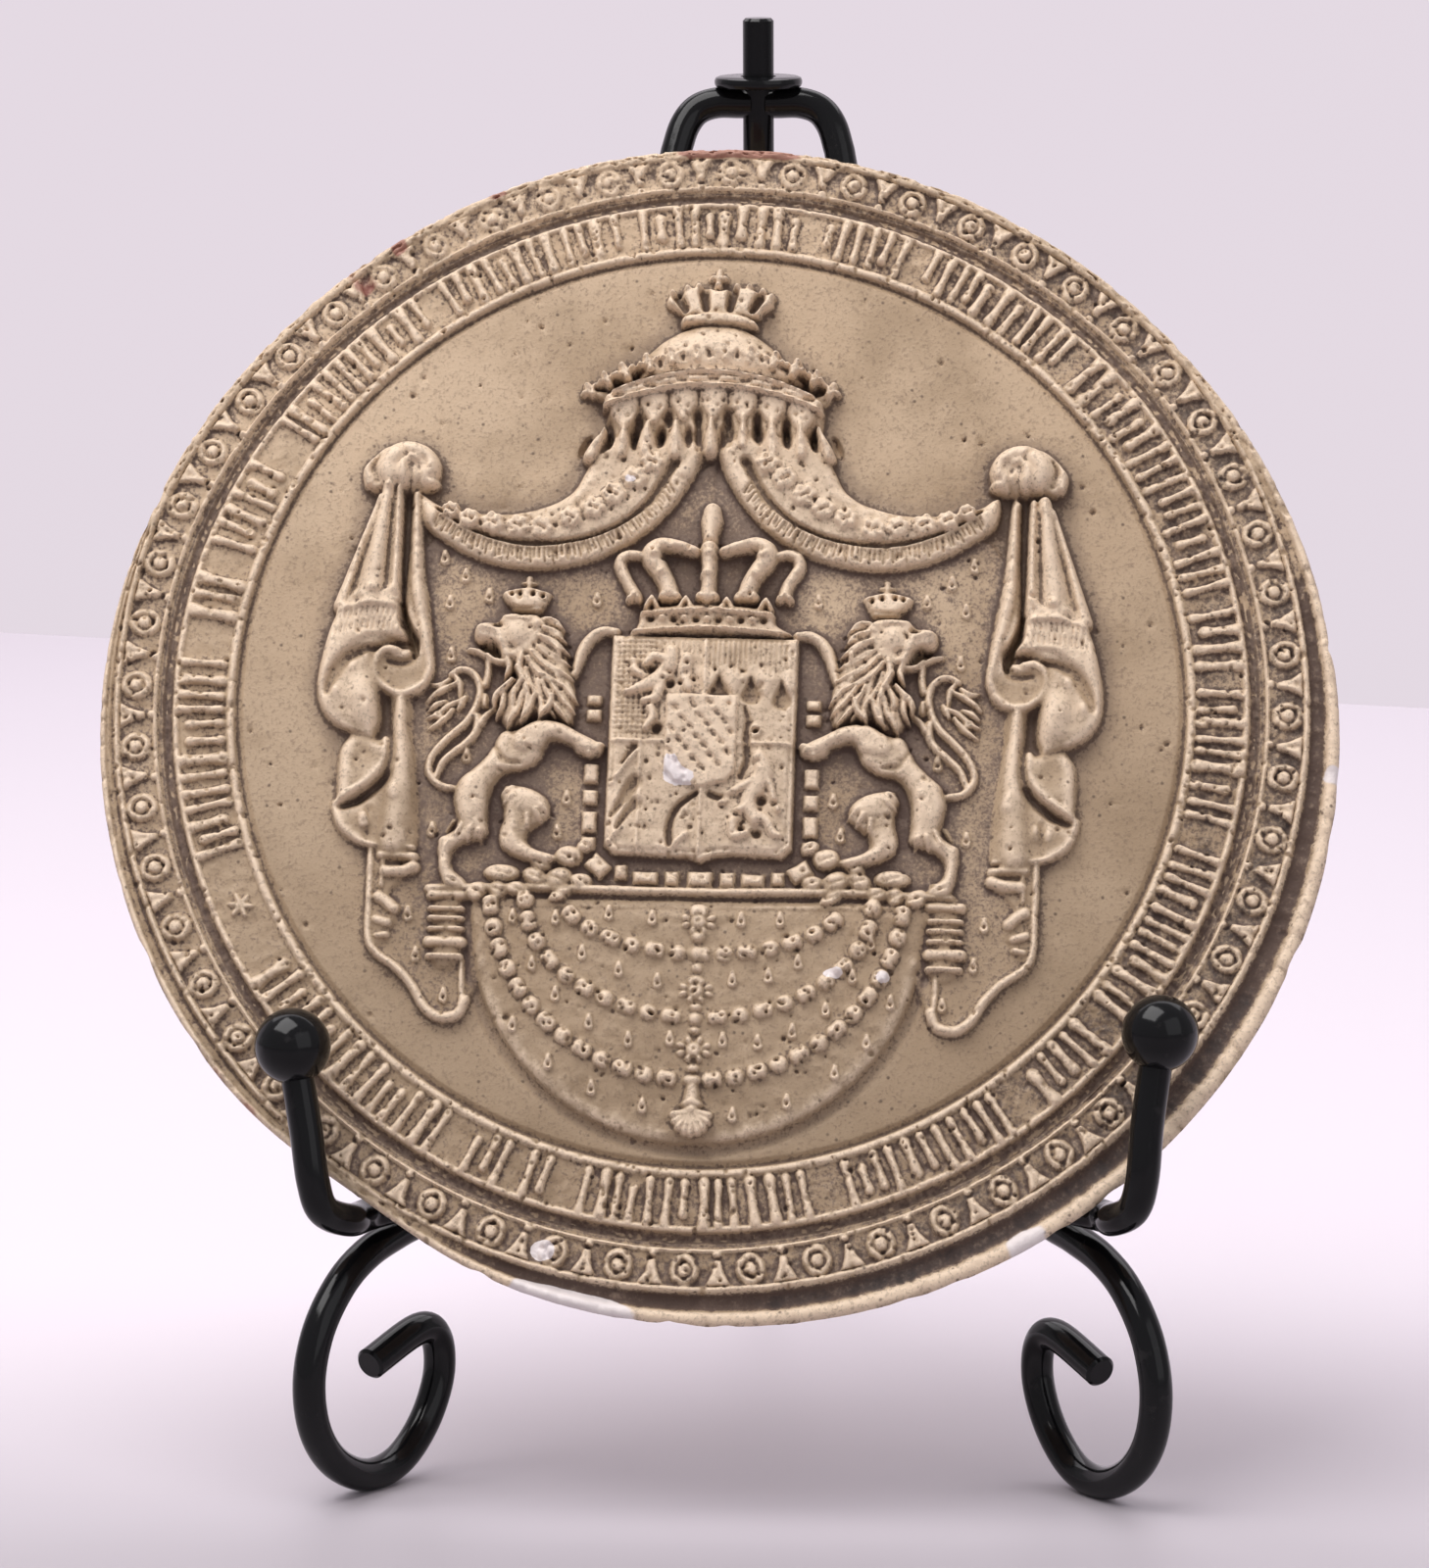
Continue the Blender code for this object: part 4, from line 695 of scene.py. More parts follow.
    # chain round the shield
    for y, half in ((-0.6, 0.7), (-2.5, 0.8), (-9.9, 1.3), (-12.9, 1.0), (-16, 1.4), (-18.7, 0.9)):
        for x in (-13.9, 2 * mid + 13.9):
            clay.plate(block(x, y, 0.95, half), 1.7, 0.5, perSpan=1)
    for x, y, w, h, turn in ((-12.6, -21.5, 1.5, 1.2, -42), (-9.8, -22.2, 0.8, 1.0, 0),
                             (-6.8, -22.9, 1.6, 0.9, 0), (-3.6, -22.9, 0.9, 1.0, 0),
                             (-0.2, -22.9, 1.6, 1.1, 0), (3.1, -22.9, 1.0, 1.05, 0),
                             (6.2, -22.9, 1.5, 0.9, 0), (9.2, -22.6, 0.85, 0.95, 0),
                             (11.9, -21.7, 1.5, 1.2, 32)):
        clay.plate(block(x, y, w, h, turn), 2.0, 0.8, perSpan=1)
        clay.mound((x + 0.3, y + 0.2), (0.4, 0.35), -0.5, power=0.9)
    modelShieldCrown(clay)


def modelBanner(clay):
    mid = -0.3
    clay.ridge([(-33, -24.8), (-20, -24.4), (mid, -24.5), (15.6, -24.1), (30, -24.4)], 0.65, 1.9,
               0.0)
    outline = [(-28, -26.4), (-14, -26.2), (mid, -26.2), (14, -25.6), (27.1, -25.6)]
    outline += [(mid + 27.6 * math.cos(t), -27.4 - 28.0 * math.sin(t))
                for t in np.linspace(0.04, math.pi - 0.04, 17)]
    clay.plate(outline, 1.35, 1.5)
    clay.soil(outline, 0.4)
    clay.mound((mid, -36), (24, 17), 0.5, None, power=1.0)
    clay.ridge([(-27.2, -26.2), (mid, -26.1), (26.4, -25.5)], 0.55, 0.55)
    edge = [(mid + 28.5 * math.cos(t), -27.4 - 28.9 * math.sin(t))
            for t in np.linspace(0.12, math.pi - 0.12, 25)]
    clay.groove(edge, 0.7, 0.35, 1)
    # ribbed ends of the rod
    for y, half in ((-25.6, 0.75), (-27.3, 0.4), (-28.5, 0.4), (-29.8, 0.4), (-31.4, 0.85),
                    (-33.2, 0.45)):
        for side in bothSides([(-32.6, y), (-28.8, y)], -0.6):
            clay.ridge(side, half, 2.0, 0.0, 1)
    for side in bothSides([(-30.6, -25.4), (-30.6, -33)], -0.6):
        clay.ridge(side, 2.1, 1.3, 0.0)
    # the beads of the three swags
    swags = (((0.3, -24.6), 17.4, 7.7, False), ((-0.2, -25.5), 21.0, 14.6, True),
             ((-0.5, -24.2), 25.0, 23.5, True))
    rng = np.random.default_rng(17)
    for centre, a, b, parted in swags:
        turn = np.linspace(-0.06, math.pi + 0.06, 400)
        line = np.array([centre[0] + a * np.cos(turn), centre[1] - b * np.sin(turn)]).T
        steps = np.hypot(*np.diff(line, axis=0).T)
        length = np.concatenate([[0], np.cumsum(steps)])
        count = int(round(length[-1] / 2.72))
        for k in range(count):
            s = (k + 0.5) / count * length[-1]
            x = np.interp(s, length, line[:, 0])
            y = np.interp(s, length, line[:, 1])
            if parted and abs(x - mid) < 1.9 or y > -25.6:
                continue
            near = np.interp(s + 0.4, length, line[:, 0]), np.interp(s + 0.4, length, line[:, 1])
            lean = math.degrees(math.atan2(near[1] - y, near[0] - x))
            size = (1.35, 0.95) if k % 2 else (1.2, 1.1)
            clay.mound((x, y), size, 1.45, 1.4, turn=lean)
            if k % 2:
                for wing in (-0.6, 0.6):
                    off = math.radians(lean)
                    spot = (x + wing * math.cos(off), y + wing * math.sin(off))
                    clay.mound(spot, (0.66, 1.0), 1.45, 1.4, turn=lean)
            for pore in rng.uniform(-0.8, 0.8, (3, 2)):
                clay.mound((x + pore[0], y + pore[1]), (0.33, 0.3), -0.85, power=0.9)
    # the middle chain with its crosses
    for y, w, h in ((-26.8, 1.2, 0.8), (-30.2, 1.0, 0.8), (-32.3, 1.5, 0.95), (-34.1, 0.8, 0.7),
                    (-35.4, 0.9, 0.6), (-38.9, 0.9, 0.6), (-40.3, 1.0, 0.9), (-41.7, 0.8, 0.5),
                    (-46.3, 0.8, 0.6), (-47.8, 1.35, 0.8)):
        clay.mound((-0.1, y), (w, h), 1.25, 1.4)
    for y in (-28.3, -36.8, -44):
        clay.mound((-0.1, y), (1.1, 1.1), 1.4, 1.4)
        for k in range(8):
            a = math.radians(22.5 + 45 * k)
            spot = (-0.1 + 1.65 * math.cos(a), y + 1.15 * math.sin(a))
            clay.mound(spot, (0.62, 0.42), 1.2, 1.4, turn=math.degrees(a))
        clay.mound((-0.1, y), (0.4, 0.35), -0.5, None, power=1.0)
    # the pendant
    clay.ridge([(-0.1, -48.8), (-0.1, -50.6)], [0.9, 1.3], 1.4, 1.3, 2)
    clay.ridge([(-1.3, -50.8), (-0.1, -50.4), (1.1, -50.8)], 0.35, 0.4, None, 3)
    for k in range(9):
        a = math.radians(-180 + 22.5 * k)
        tip = (-0.1 + 2.1 * math.cos(a), -52 + 2.2 * math.sin(a))
        clay.ridge([(-0.1, -51.4), tip], [0.35, 0.5], 1.5, 1.4, 2)
    clay.mound((-0.1, -51.3), (0.9, 0.7), 1.7, 1.4)
    # small drops sewn over the banner and the mantle
    drops = [(-11, -27.5), (-5.7, -28), (5, -28), (9.7, -27.8), (-14, -32.5), (12, -33),
             (-9.5, -34.5), (8.5, -34.8), (-17, -37.7), (15.5, -38.7), (-22, -41.5), (-12.8, -41),
             (-8, -43), (7.5, -43), (11.6, -41.5), (20.5, -42.5), (-17.5, -46), (16.8, -46.3),
             (-12.2, -49), (11.2, -50), (-6, -51), (4.8, -51.8), (-22.6, -28.2), (-20, -34),
             (-17.4, -28.2), (18.6, -34.6), (23.2, -37.6), (20.7, -30.4), (-4.8, -35.8),
             (4.2, -35.4), (-3, -42.8), (3.3, -42.8)]
    sewn = [(-33.2, 17.3), (-30.5, 15), (-32.3, 11.5), (-27.5, 12.5), (-31.8, 4.8), (-14.2, 12.3),
            (-29.3, -8), (-16.8, -13), (-17.8, -17.3), (-35.4, -28), (-34.2, -33), (-30.6, -38),
            (-33, -17.4), (-41.3, -16.6), (-37.8, -13)]
    for side in bothSides(sewn, -0.6, 0.4):
        drops += side
    for x, y in drops:
        level = float(clay.sample(clay.height, np.array([x]), np.array([y]))[0])
        clay.ridge([(x, y + 0.8), (x, y - 0.35)], [0.3, 0.6], 0.8, level, 2)
        clay.mound((x, y - 0.2), (0.32, 0.42), -0.9, None, power=0.9)


def makeArms():
    clay = Sheet(-58.5, -58.5, 58.5, 58.5, 0.1)
    modelMantle(clay)
    modelSwags(clay)
    modelPavilion(clay)
    modelShield(clay)
    modelLion(clay, False)
    modelLion(clay, True)
    modelBanner(clay)
    clay.height = blurred(clay.height, 0.9)
    uneven = 0.08 * softNoise(clay.shape, 5, 51) + 0.12 * softNoise(clay.shape, 13, 52)
    clay.height += uneven * softStep(clay.height, 0.3, 0.9)
    x = abs(clay.low[0] + clay.step * np.arange(clay.shape[1]))[None, :]
    y = (clay.low[1] + clay.step * np.arange(clay.shape[0]))[:, None]
    cloth = softStep(x, 33.8, 35) * softStep(-y, -5, -3) * softStep(y, -20, -18.5)
    clay.height += (blurred(clay.height, 3) - clay.height) * cloth * 0.8
    print("arms modelled, tallest", round(float(clay.height.max()), 2))
    return clay


def outlineRadius(clock, nicked=False):
    degrees = np.degrees(clock) % 360
    r = cast["radius"] + 0 * clock
    for order, sine, cosine in cast["waves"]:
        r = r + sine * np.sin(order * clock) + cosine * np.cos(order * clock)
    angle, half, depth = cast["flatSpot"]
    r = r - depth * np.exp(-((degrees - angle) / half) ** 2)
    if nicked:
        rng = np.random.default_rng(5)
        for at, half, depth in zip(rng.uniform(0, 360, 50), rng.uniform(0.3, 1.6, 50),
                                   rng.uniform(0.05, 0.28, 50)):
            off = (degrees - at + 180) % 360 - 180
            r = r - depth * np.exp(-(off / half) ** 2)
    return r


def ringRadius(radius, clock):
    # radius in the turned pattern, which is pressed together where the cast is cut off centre
    field, last = rings["field"], rings["last"]
    edge = outlineRadius(clock)
    inner = np.minimum(last, edge - rings["least"])
    spread = field + (radius - field) * (last - field) / (inner - field)
    rim = last + rings["rim"] * (radius - inner) / (edge - inner)
    return np.where(radius <= field, radius, np.where(radius <= inner, spread, rim))


def trueRadius(pattern, clock):
    field, last = rings["field"], rings["last"]
    edge = outlineRadius(clock)
    inner = np.minimum(last, edge - rings["least"])
    pressed = field + (pattern - field) * (inner - field) / (last - field)
    share = (pattern - last) / rings["rim"]
    rim = inner + (edge - inner) * share
    rim = rim - (edge - outlineRadius(clock, True)) * softStep(share, 0.55, 1.0)
    return np.where(pattern <= field, pattern, np.where(pattern <= last, pressed, rim))


def modelStrokes(band, at):
    # upright strokes in place of the writing, between the first and last degree of each row
    words = ((252, 276), (280, 285.5), (288.5, 300), (304, 325.5), (327.5, 350), (351.5, 371.5),
             (13, 23.5), (25.5, 46), (47.5, 77.5), (79.8, 87), (89, 105.8), (108, 130.5),
             (132, 142), (145.2, 166), (168.5, 195), (197.5, 200.5), (202.5, 208), (210.5, 239.5))
    rng = np.random.default_rng(23)
    for first, last in words:
        spot = first + 0.5
        while spot < last - 0.3:
            half = rng.choice((0.5, 0.55, 0.68, 0.8), p=(0.4, 0.3, 0.2, 0.1))
            low, high = rng.choice((59.7, 59.7, 59.7, 60.8)), rng.choice((65.1, 65.1, 65.1, 64))
            lean = rng.uniform(-0.12, 0.12)
            for turn in (0, 360) if spot > 345 else (0,):
                line = [at(spot - turn + lean * (r - 62.4) / 2.6, r)
                        for r in np.linspace(low + 0.25, high - 0.25, 4)]
                halves = half * np.array([1.25, 0.85, 0.9, 1.2])
                band.ridge(line, halves, 0.95 + 0.15 * math.sin(spot * 5), 0.05, 2, power=0.45)
            spot += math.degrees((2 * half + rng.uniform(0.6, 1.15)) / 62.4)
    for k in range(6):
        a = math.radians(60 * k)
        tip = at(245.6 + math.degrees(1.4 * math.cos(a) / 62.4), 62.2 + 1.4 * math.sin(a))
        band.ridge([at(245.6, 62.2), tip], [0.55, 0.25], 0.6, 0.05, 2)


def modelOrnament(band, at):
    pitch = 360 / rings["ornamentCount"]
    rng = np.random.default_rng(31)
    for k in range(-1, rings["ornamentCount"] + 1):
        rosette = 1.9 + pitch * k + rng.uniform(-0.1, 0.1)
        dart = 1.9 + pitch * (k + 0.5)
        x, y = at(rosette, 70.4)
        band.mound((x, y), (1.72, 2.02), 1.05, 0.05, power=0.45)
        circle = [(x + 0.85 * math.cos(a), y + 0.95 * math.sin(a))
                  for a in np.linspace(0, 2 * math.pi, 13)]
        band.groove(circle, 0.3, 0.6, 2)
        for a in rng.uniform(0, 2 * math.pi, 4):
            knot = (x + 1.35 * math.cos(a), y + 1.55 * math.sin(a))
            band.mound(knot, (0.4, 0.35), rng.uniform(-0.35, 0.3), None, power=0.9)
        for s in (-1, 1):
            spot = (x + rng.uniform(-0.3, 0.3), y + s * rng.uniform(0.8, 1.3))
            size = rng.uniform(0.3, 0.55)
            band.mound(spot, (size, 0.8 * size), -rng.uniform(0.3, 0.8), None, power=0.9)
        fan = [at(dart - 0.3, 69.2), at(dart - 0.6, 70.7), at(dart - 1.25, 72.3),
               at(dart + 1.25, 72.3), at(dart + 0.6, 70.7), at(dart + 0.3, 69.2)]
        band.plate(fan, 0.95, 0.35, 0.05, perSpan=1)
        band.ridge([at(dart, 70.6), at(dart, 72)], [0.2, 0.5], -0.2, None, 1, power=0.8)
        band.mound(at(dart + rng.uniform(-0.2, 0.2), 68.5), (0.5, 0.42), 0.75, 0.05)
        if rng.uniform() < 0.7:
            spot = at(dart + rng.uniform(-0.3, 0.3), rng.uniform(68.5, 70.5))
            band.mound(spot, (0.4, 0.4), -0.7, None, power=0.8)


def makeRings():
    scale = rings["reference"]
    band = Sheet(-12.0, 56.5, 2 * math.pi * scale + 12, 75.0, 0.1)

    def at(degrees, radius):
        return (math.radians(degrees - 0.5) * scale, radius)

    pattern = band.low[1] + band.step * np.arange(band.shape[0])[:, None]
    clock = (band.low[0] + band.step * np.arange(band.shape[1]))[None, :] / scale
    degrees = np.degrees(clock) % 360
    # radius and height along the turned profile
    turned = ((56.5, 0), (57.1, 0), (57.5, -0.25), (57.9, -0.5), (58.15, -0.2), (58.4, 0.6),
              (58.8, 0.75), (59.15, 0.55), (59.4, 0.05), (65.0, 0.05), (65.2, 0.5), (65.45, 0.7),
              (65.7, 0.45), (65.95, -0.45), (66.6, -0.9), (67.05, -0.7), (67.2, -0.25),
              (67.35, -0.7), (67.5, -0.2), (67.7, -0.35), (67.9, 0.5), (68.1, 0.55),
              (68.35, 0.0), (72.25, 0.0), (72.45, 0.75), (72.8, 0.9))
    radii, heights = zip(*turned)
    band.height += np.interp(pattern, radii, heights)
    share = np.clip((pattern - rings["last"]) / rings["rim"], 0, 1)
    edge = outlineRadius(clock)
    room = edge - np.minimum(rings["last"], edge - rings["least"])
    wide = np.clip((room - 1.2) / 2.0, 0, 1)
    groove = np.interp(share, (0, 0.08, 0.15, 0.5, 0.6, 0.68, 0.9, 1),
                       (0.9, 0.1, -0.6, -0.6, 0.2, 0.9, 0.85, 0.1))
    plain = np.interp(share, (0, 0.5, 0.85, 1), (0.9, 0.85, 0.6, 0.1))
    band.height = np.where(share > 0, plain + (groove - plain) * wide, band.height)
    modelStrokes(band, at)
    modelOrnament(band, at)
    for radius in (73.35, 74.1):
        band.groove([at(a, radius) for a in range(224, 292, 4)], 0.22, 0.35, 2)
    for radius in (73.5, 73.75, 74.0):
        band.ridge([at(a, radius) for a in range(60, 170, 4)], 0.1, 0.15, None, 2)
    # worn soft at the top, broken away along parts of the rim
    worn = softStep(np.cos(np.radians(degrees - 345)), 0.85, 0.97)
    soft = blurred(band.height, 0.4 / band.step)
    rough = softNoise(band.shape, 14, 3) + 0.6 * softNoise(band.shape, 6, 4)
    band.height += (soft - band.height) * worn * softStep(pattern, 67, 69) * 0.5
    band.height += 0.12 * rough * worn * softStep(pattern, 67, 69)
    broken = softStep(rough, 0.25, 0.7) * softStep(pattern, 73.0, 74.4)
    band.height -= 0.45 * broken * (1 - 0.5 * wide)
    sooty = softStep(degrees, 108, 128) * (1 - softStep(degrees, 168, 182))
    inGroove = softStep(share, 0.02, 0.12) * (1 - softStep(share, 0.58, 0.68))
    right = 0.5 + 0.5 * np.cos(np.radians(degrees - 100))
    band.dirt += (1.2 + 0.5 * sooty) * wide * inGroove
    band.dirt += 1.15 * softStep(pattern, 65.7, 66.0) * (1 - softStep(pattern, 67.6, 68.0))
    ornament = softStep(pattern, 68.1, 68.4) * (1 - softStep(pattern, 72.2, 72.5))
    band.dirt += (1.0 + 0.6 * right) * ornament
    letters = softStep(pattern, 59.2, 59.5) * (1 - softStep(pattern, 64.9, 65.2))
    band.dirt += (0.4 + 1.1 * right) * letters
    band.dirt += 0.6 * broken
    band.pale += 0.8 * softStep(share, 0.68, 0.92) * (1 - 0.7 * broken)
    band.height = blurred(band.height, 0.7)
    uneven = 0.09 * softNoise(band.shape, 5, 53) + 0.1 * softNoise(band.shape, 12, 54)
    band.height += uneven * (0.9 + 0.7 * right) * softStep(pattern, 58.5, 59.5)
    print("rings modelled")
    return band


def pit(sheet, count, low, high, seed, reach=1000):
    # casting pores where the height lies between low and high
    rng = np.random.default_rng(seed)
    top = sheet.low + sheet.step * (np.array(sheet.shape[::-1]) - 1)
    for _ in range(count):
        spot = rng.uniform(sheet.low + 1, top - 1)
        here = float(sheet.sample(sheet.height, spot[:1], spot[1:])[0])
        if low < here < high and abs(spot[0]) < reach:
            size = rng.uniform(0.18, 0.5)
            sheet.mound(spot, (size, size * rng.uniform(0.7, 1)), -rng.uniform(0.15, 0.6), None,
                        turn=rng.uniform(0, 180), power=0.8)


def stainAndShade(sheet):
    # attributes for the colour: patina with painted shade in the hollows, a painted shade halo
    # round the tall relief, the pale raised parts and the soiled ground
    h, s = sheet.height, sheet.step
    fine = blurred(h, 0.3 / s) - h
    middle = blurred(h, 0.9 / s) - h
    wide = blurred(h, 2.8 / s) - h
    hollow = 0.6 * softStep(fine, 0.03, 0.2) + 0.45 * softStep(middle, 0.1, 0.7)
    ground = blurred(sheet.dirt * (1 - softStep(h, 0.45, 1.2)), 0.2 / s)
    raised = np.maximum(softStep(-middle, 0.02, 0.5), 0.8 * softStep(h, 2.0, 3.2))
    return {"hollow": np.clip(hollow, 0, 1), "shadeHalo": softStep(wide, 0.1, 1.3),
            "raised": np.maximum(raised, sheet.pale), "ground": ground}


def castHeight(x, y, arms, band, fields=None):
    # height of the face, or with fields the attribute values, at places in the cast's plane
    radius, clock = np.hypot(x, y), np.arctan2(x, y) % (2 * math.pi)
    pattern = ringRadius(radius, clock)
    c, s = math.cos(math.radians(1.2)), math.sin(math.radians(1.2))
    a, b = x * c - y * s, x * s + y * c
    unrolled = clock * rings["reference"]
    armsShare = 1 - softStep(pattern, 57.0, 57.4)
    if fields is None:
        inner, outer = arms.height, band.height
    else:
        inner, outer = fields
    return (arms.sample(inner, a, b) * armsShare
            + band.sample(outer, unrolled, pattern) * (1 - armsShare))


def makeCast(arms, band):
    # the face in rings that grow out of a square grid, then the side and the flat back
    fieldRows, ringRows, rimRows = cast["rows"]
    inside = rings["field"] * np.arange(1, fieldRows + 1) / fieldRows
    width = rings["last"] - rings["field"]
    outside = rings["field"] + width * np.arange(1, ringRows + 1) / ringRows
    rim = rings["last"] + np.arange(1, rimRows + 1) * cast["rimRow"]
    rows = np.concatenate([[0], inside, outside, rim])
    split, count = len(inside), len(rows) - 1
    across = np.arange(-count, count + 1)
    p, q = np.meshgrid(across, across)
    row = np.maximum(abs(p), abs(q))
    step = np.maximum(row, 1)
    beside = q / step * math.pi / 4 * np.sign(p) + np.where(p < 0, math.pi, 0)
    above = math.pi / 2 * np.sign(q) - p / step * math.pi / 4 * np.sign(q)
    clock = math.pi / 2 - np.where(abs(p) >= abs(q), beside, above)
    radius = trueRadius(rows[row], clock)
    x, y = radius * np.sin(clock), radius * np.cos(clock)
    uneven = softNoise(x.shape, 5.2, 8) * 0.02 + softNoise(x.shape, 13, 9) * 0.03
    points = np.stack([x, y, castHeight(x, y, arms, band) + uneven], -1).reshape(-1, 3)
    size = 2 * count + 1
    index = np.arange(size * size).reshape(size, size)
    quads = np.stack([index[:-1, :-1], index[:-1, 1:], index[1:, 1:], index[1:, :-1]], -1)
    quads = quads.reshape(-1, 4)
    outer = row.reshape(-1)[quads].max(1)
    # the field tucks under the rings by two rows
    field = points - np.where(row.reshape(-1, 1) > split, (0, 0, 0.12), 0)
    middle = meshOf("fieldRelief", field, quads[outer <= split + 2])
    quads = quads[outer > split]
    border = np.concatenate([index[0, :-1], index[:-1, -1], index[-1, :0:-1], index[:0:-1, 0]])
    edge, angle = points[border], np.arctan2(points[border, 0], points[border, 1])
    last = border
    levels = [(d, 1.0) for d in (0.02, 0.1, 0.22, 0.36, 0.5, 0.64, 0.78, 0.9, 0.97, 1.0)]
    levels += [(1.0, 0.75), (1.0, 0.5), (1.0, 0.25), (1.0, 0.02)]
    for depth, share in levels:
        nick = (outlineRadius(angle) - outlineRadius(angle, True)) * (1 - softStep(depth, 0, 0.5))
        r = outlineRadius(angle) - nick - cast["sideTaper"] * depth ** 0.8
        r += 0.12 * np.sin(angle * 23 + 9 * depth) * np.sin(math.pi * depth)
        r = (r - 0.6 * softStep(depth, 0.9, 1.0)) * share
        z = np.minimum(edge[:, 2], 0) * (1 - depth) - cast["thickness"] * depth
        fresh = len(points) + np.arange(len(border))
        points = np.concatenate([points, np.stack([r * np.sin(angle), r * np.cos(angle), z], -1)])
        quads = np.concatenate([quads, np.stack([last, fresh, np.roll(fresh, -1),
                                                 np.roll(last, -1)], -1)])
        last = fresh
    return middle, meshOf("ringRelief", points, quads, last)


def addObject(name, mesh):
    piece = bpy.data.objects.new(name, mesh)
    bpy.context.scene.collection.objects.link(piece)
    return piece


def finished(piece):
    graph = bpy.context.evaluated_depsgraph_get()
    made = bpy.data.meshes.new_from_object(piece.evaluated_get(graph), depsgraph=graph)
    piece.modifiers.clear()
    piece.data = made
    return made


def meshOf(name, points, quads, cap=None):
    used, faces = np.unique(quads, return_inverse=True)
    faces = faces.reshape(quads.shape).tolist()
    if cap is not None:
        faces.append(np.searchsorted(used, cap).tolist())
    mesh = bpy.data.meshes.new(name)
    mesh.from_pydata((points[used] * mm).tolist(), [], faces)
    mesh.update()
    return mesh


def dress(mesh, arms, band, stainsAndShade):
    # what the material needs to know at each point, then the lean and the place of the cast
    co = np.empty(len(mesh.vertices) * 3)
    mesh.vertices.foreach_get("co", co)
    co = co.reshape(-1, 3) / mm
    front = co[:, 2] > -0.9
    for name in stainsAndShade[0]:
        value = castHeight(co[:, 0], co[:, 1], arms, band, (stainsAndShade[0][name], stainsAndShade[1][name]))
        layer = mesh.attributes.new(name, "FLOAT", "POINT")
        layer.data.foreach_set("value", np.where(front, value, 0.15).astype(np.float32))
    addMarks(mesh, co)
    mesh.polygons.foreach_set("use_smooth", [True] * len(mesh.polygons))
    mesh.set_sharp_from_angle(angle=math.radians(75))
    shift = Matrix.Translation(Vector(cast["centre"]) * mm)
    mesh.transform(shift @ Matrix.Rotation(math.radians(90 - cast["lean"]), 4, "X"))


def placeCast(material):
    arms, band = makeArms(), makeRings()
    for sheet, *values in ((arms, 2400, 2.2, 9, 41, 33), (arms, 900, 0.6, 9, 44),
                           (arms, 160, -0.2, 0.6, 42), (band, 4800, 0.3, 2, 43)):
        pit(sheet, *values)
    stainsAndShade = stainAndShade(arms), stainAndShade(band)
    print("stains found")
    for name, mesh, faces in zip(("fieldPiece", "ringPiece"), makeCast(arms, band), cast["faces"]):
        piece = addObject(name, mesh)
        mesh.calc_loop_triangles()
        thin = piece.modifiers.new("thin", "DECIMATE")
        thin.ratio = faces / len(mesh.loop_triangles)
        mesh = finished(piece)
        made = bmesh.new()
        made.from_mesh(mesh)
        bmesh.ops.recalc_face_normals(made, faces=made.faces)
        if sum(f.normal.z for f in made.faces if f.calc_center_median().z > -mm) < 0:
            bmesh.ops.reverse_faces(made, faces=made.faces)
        made.to_mesh(mesh)
        made.free()
        print(name, len(mesh.polygons), "faces")
        dress(mesh, arms, band, stainsAndShade)
        mesh.materials.clear()
        mesh.materials.append(material)
        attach(piece, "root")
        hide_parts("plaque")


def addMarks(mesh, co):
    # chips that show the pale body, and traces of red wax
    x, y = co[:, 0], co[:, 1]
    radius, degrees = np.hypot(x, y), np.degrees(np.arctan2(x, y)) % 360
    pattern = ringRadius(radius, np.radians(degrees))
    chip, wax = np.zeros(len(x)), np.zeros(len(x))
    spots = ((-10, 27.5, 0.7, 0.5), (15.5, -34.5, 1.3, 0.7), (21.5, -35, 0.9, 0.8),
             (-18.6, -68.2, 1.6, 1.4))
    for cx, cy, rx, ry in spots:
        chip = np.maximum(chip, 1.4 - ((x - cx) / rx) ** 2 - ((y - cy) / ry) ** 2)
    for middle, half, amount in ((191.5, 5.5, 1.5), (150, 3, 0.7), (97, 1.5, 0.7)):
        off = (degrees - middle + 180) % 360 - 180
        chip = np.maximum(chip, amount * np.exp(-(off / half) ** 2) * softStep(pattern, 73.2, 74.4))
    for middle, half, low, amount in ((2, 6.5, 71.9, 1.4), (321, 1.6, 69, 0.6), (326, 1, 71, 0.8),
                                      (337, 1.5, 72, 0.7), (344, 1.2, 69.5, 0.6),
                                      (228, 5, 73.4, 0.6), (255, 6, 73.6, 0.45)):
        off = (degrees - middle + 180) % 360 - 180
        wax = np.maximum(wax, amount * np.exp(-(off / half) ** 4)
                         * softStep(pattern, low, low + 1.2))
    # the flake on the inner shield has straight broken edges
    for corners in (((-5.3, -11.2), (-5.2, -7.7), (-3.8, -7.8), (-3.0, -9.4), (-2.9, -11.4)),
                    ((-3.5, -8.9), (-1.5, -10.1), (-2.0, -11.5), (-4.4, -11.3))):
        flake = np.full(len(x), 9.0)
        for (ax, ay), (bx, by) in zip(corners, corners[1:] + corners[:1]):
            length = math.hypot(bx - ax, by - ay)
            flake = np.minimum(flake, ((by - ay) * (x - ax) - (bx - ax) * (y - ay)) / length)
        chip = np.maximum(chip, np.clip(0.5 + 4 * flake, 0, 1))
    shown = co[:, 2] > -4
    for name, value in (("chip", np.clip(chip, 0, 1)), ("wax", wax)):
        layer = mesh.attributes.new(name, "FLOAT", "POINT")
        layer.data.foreach_set("value", np.where(shown, value, 0).astype(np.float32))


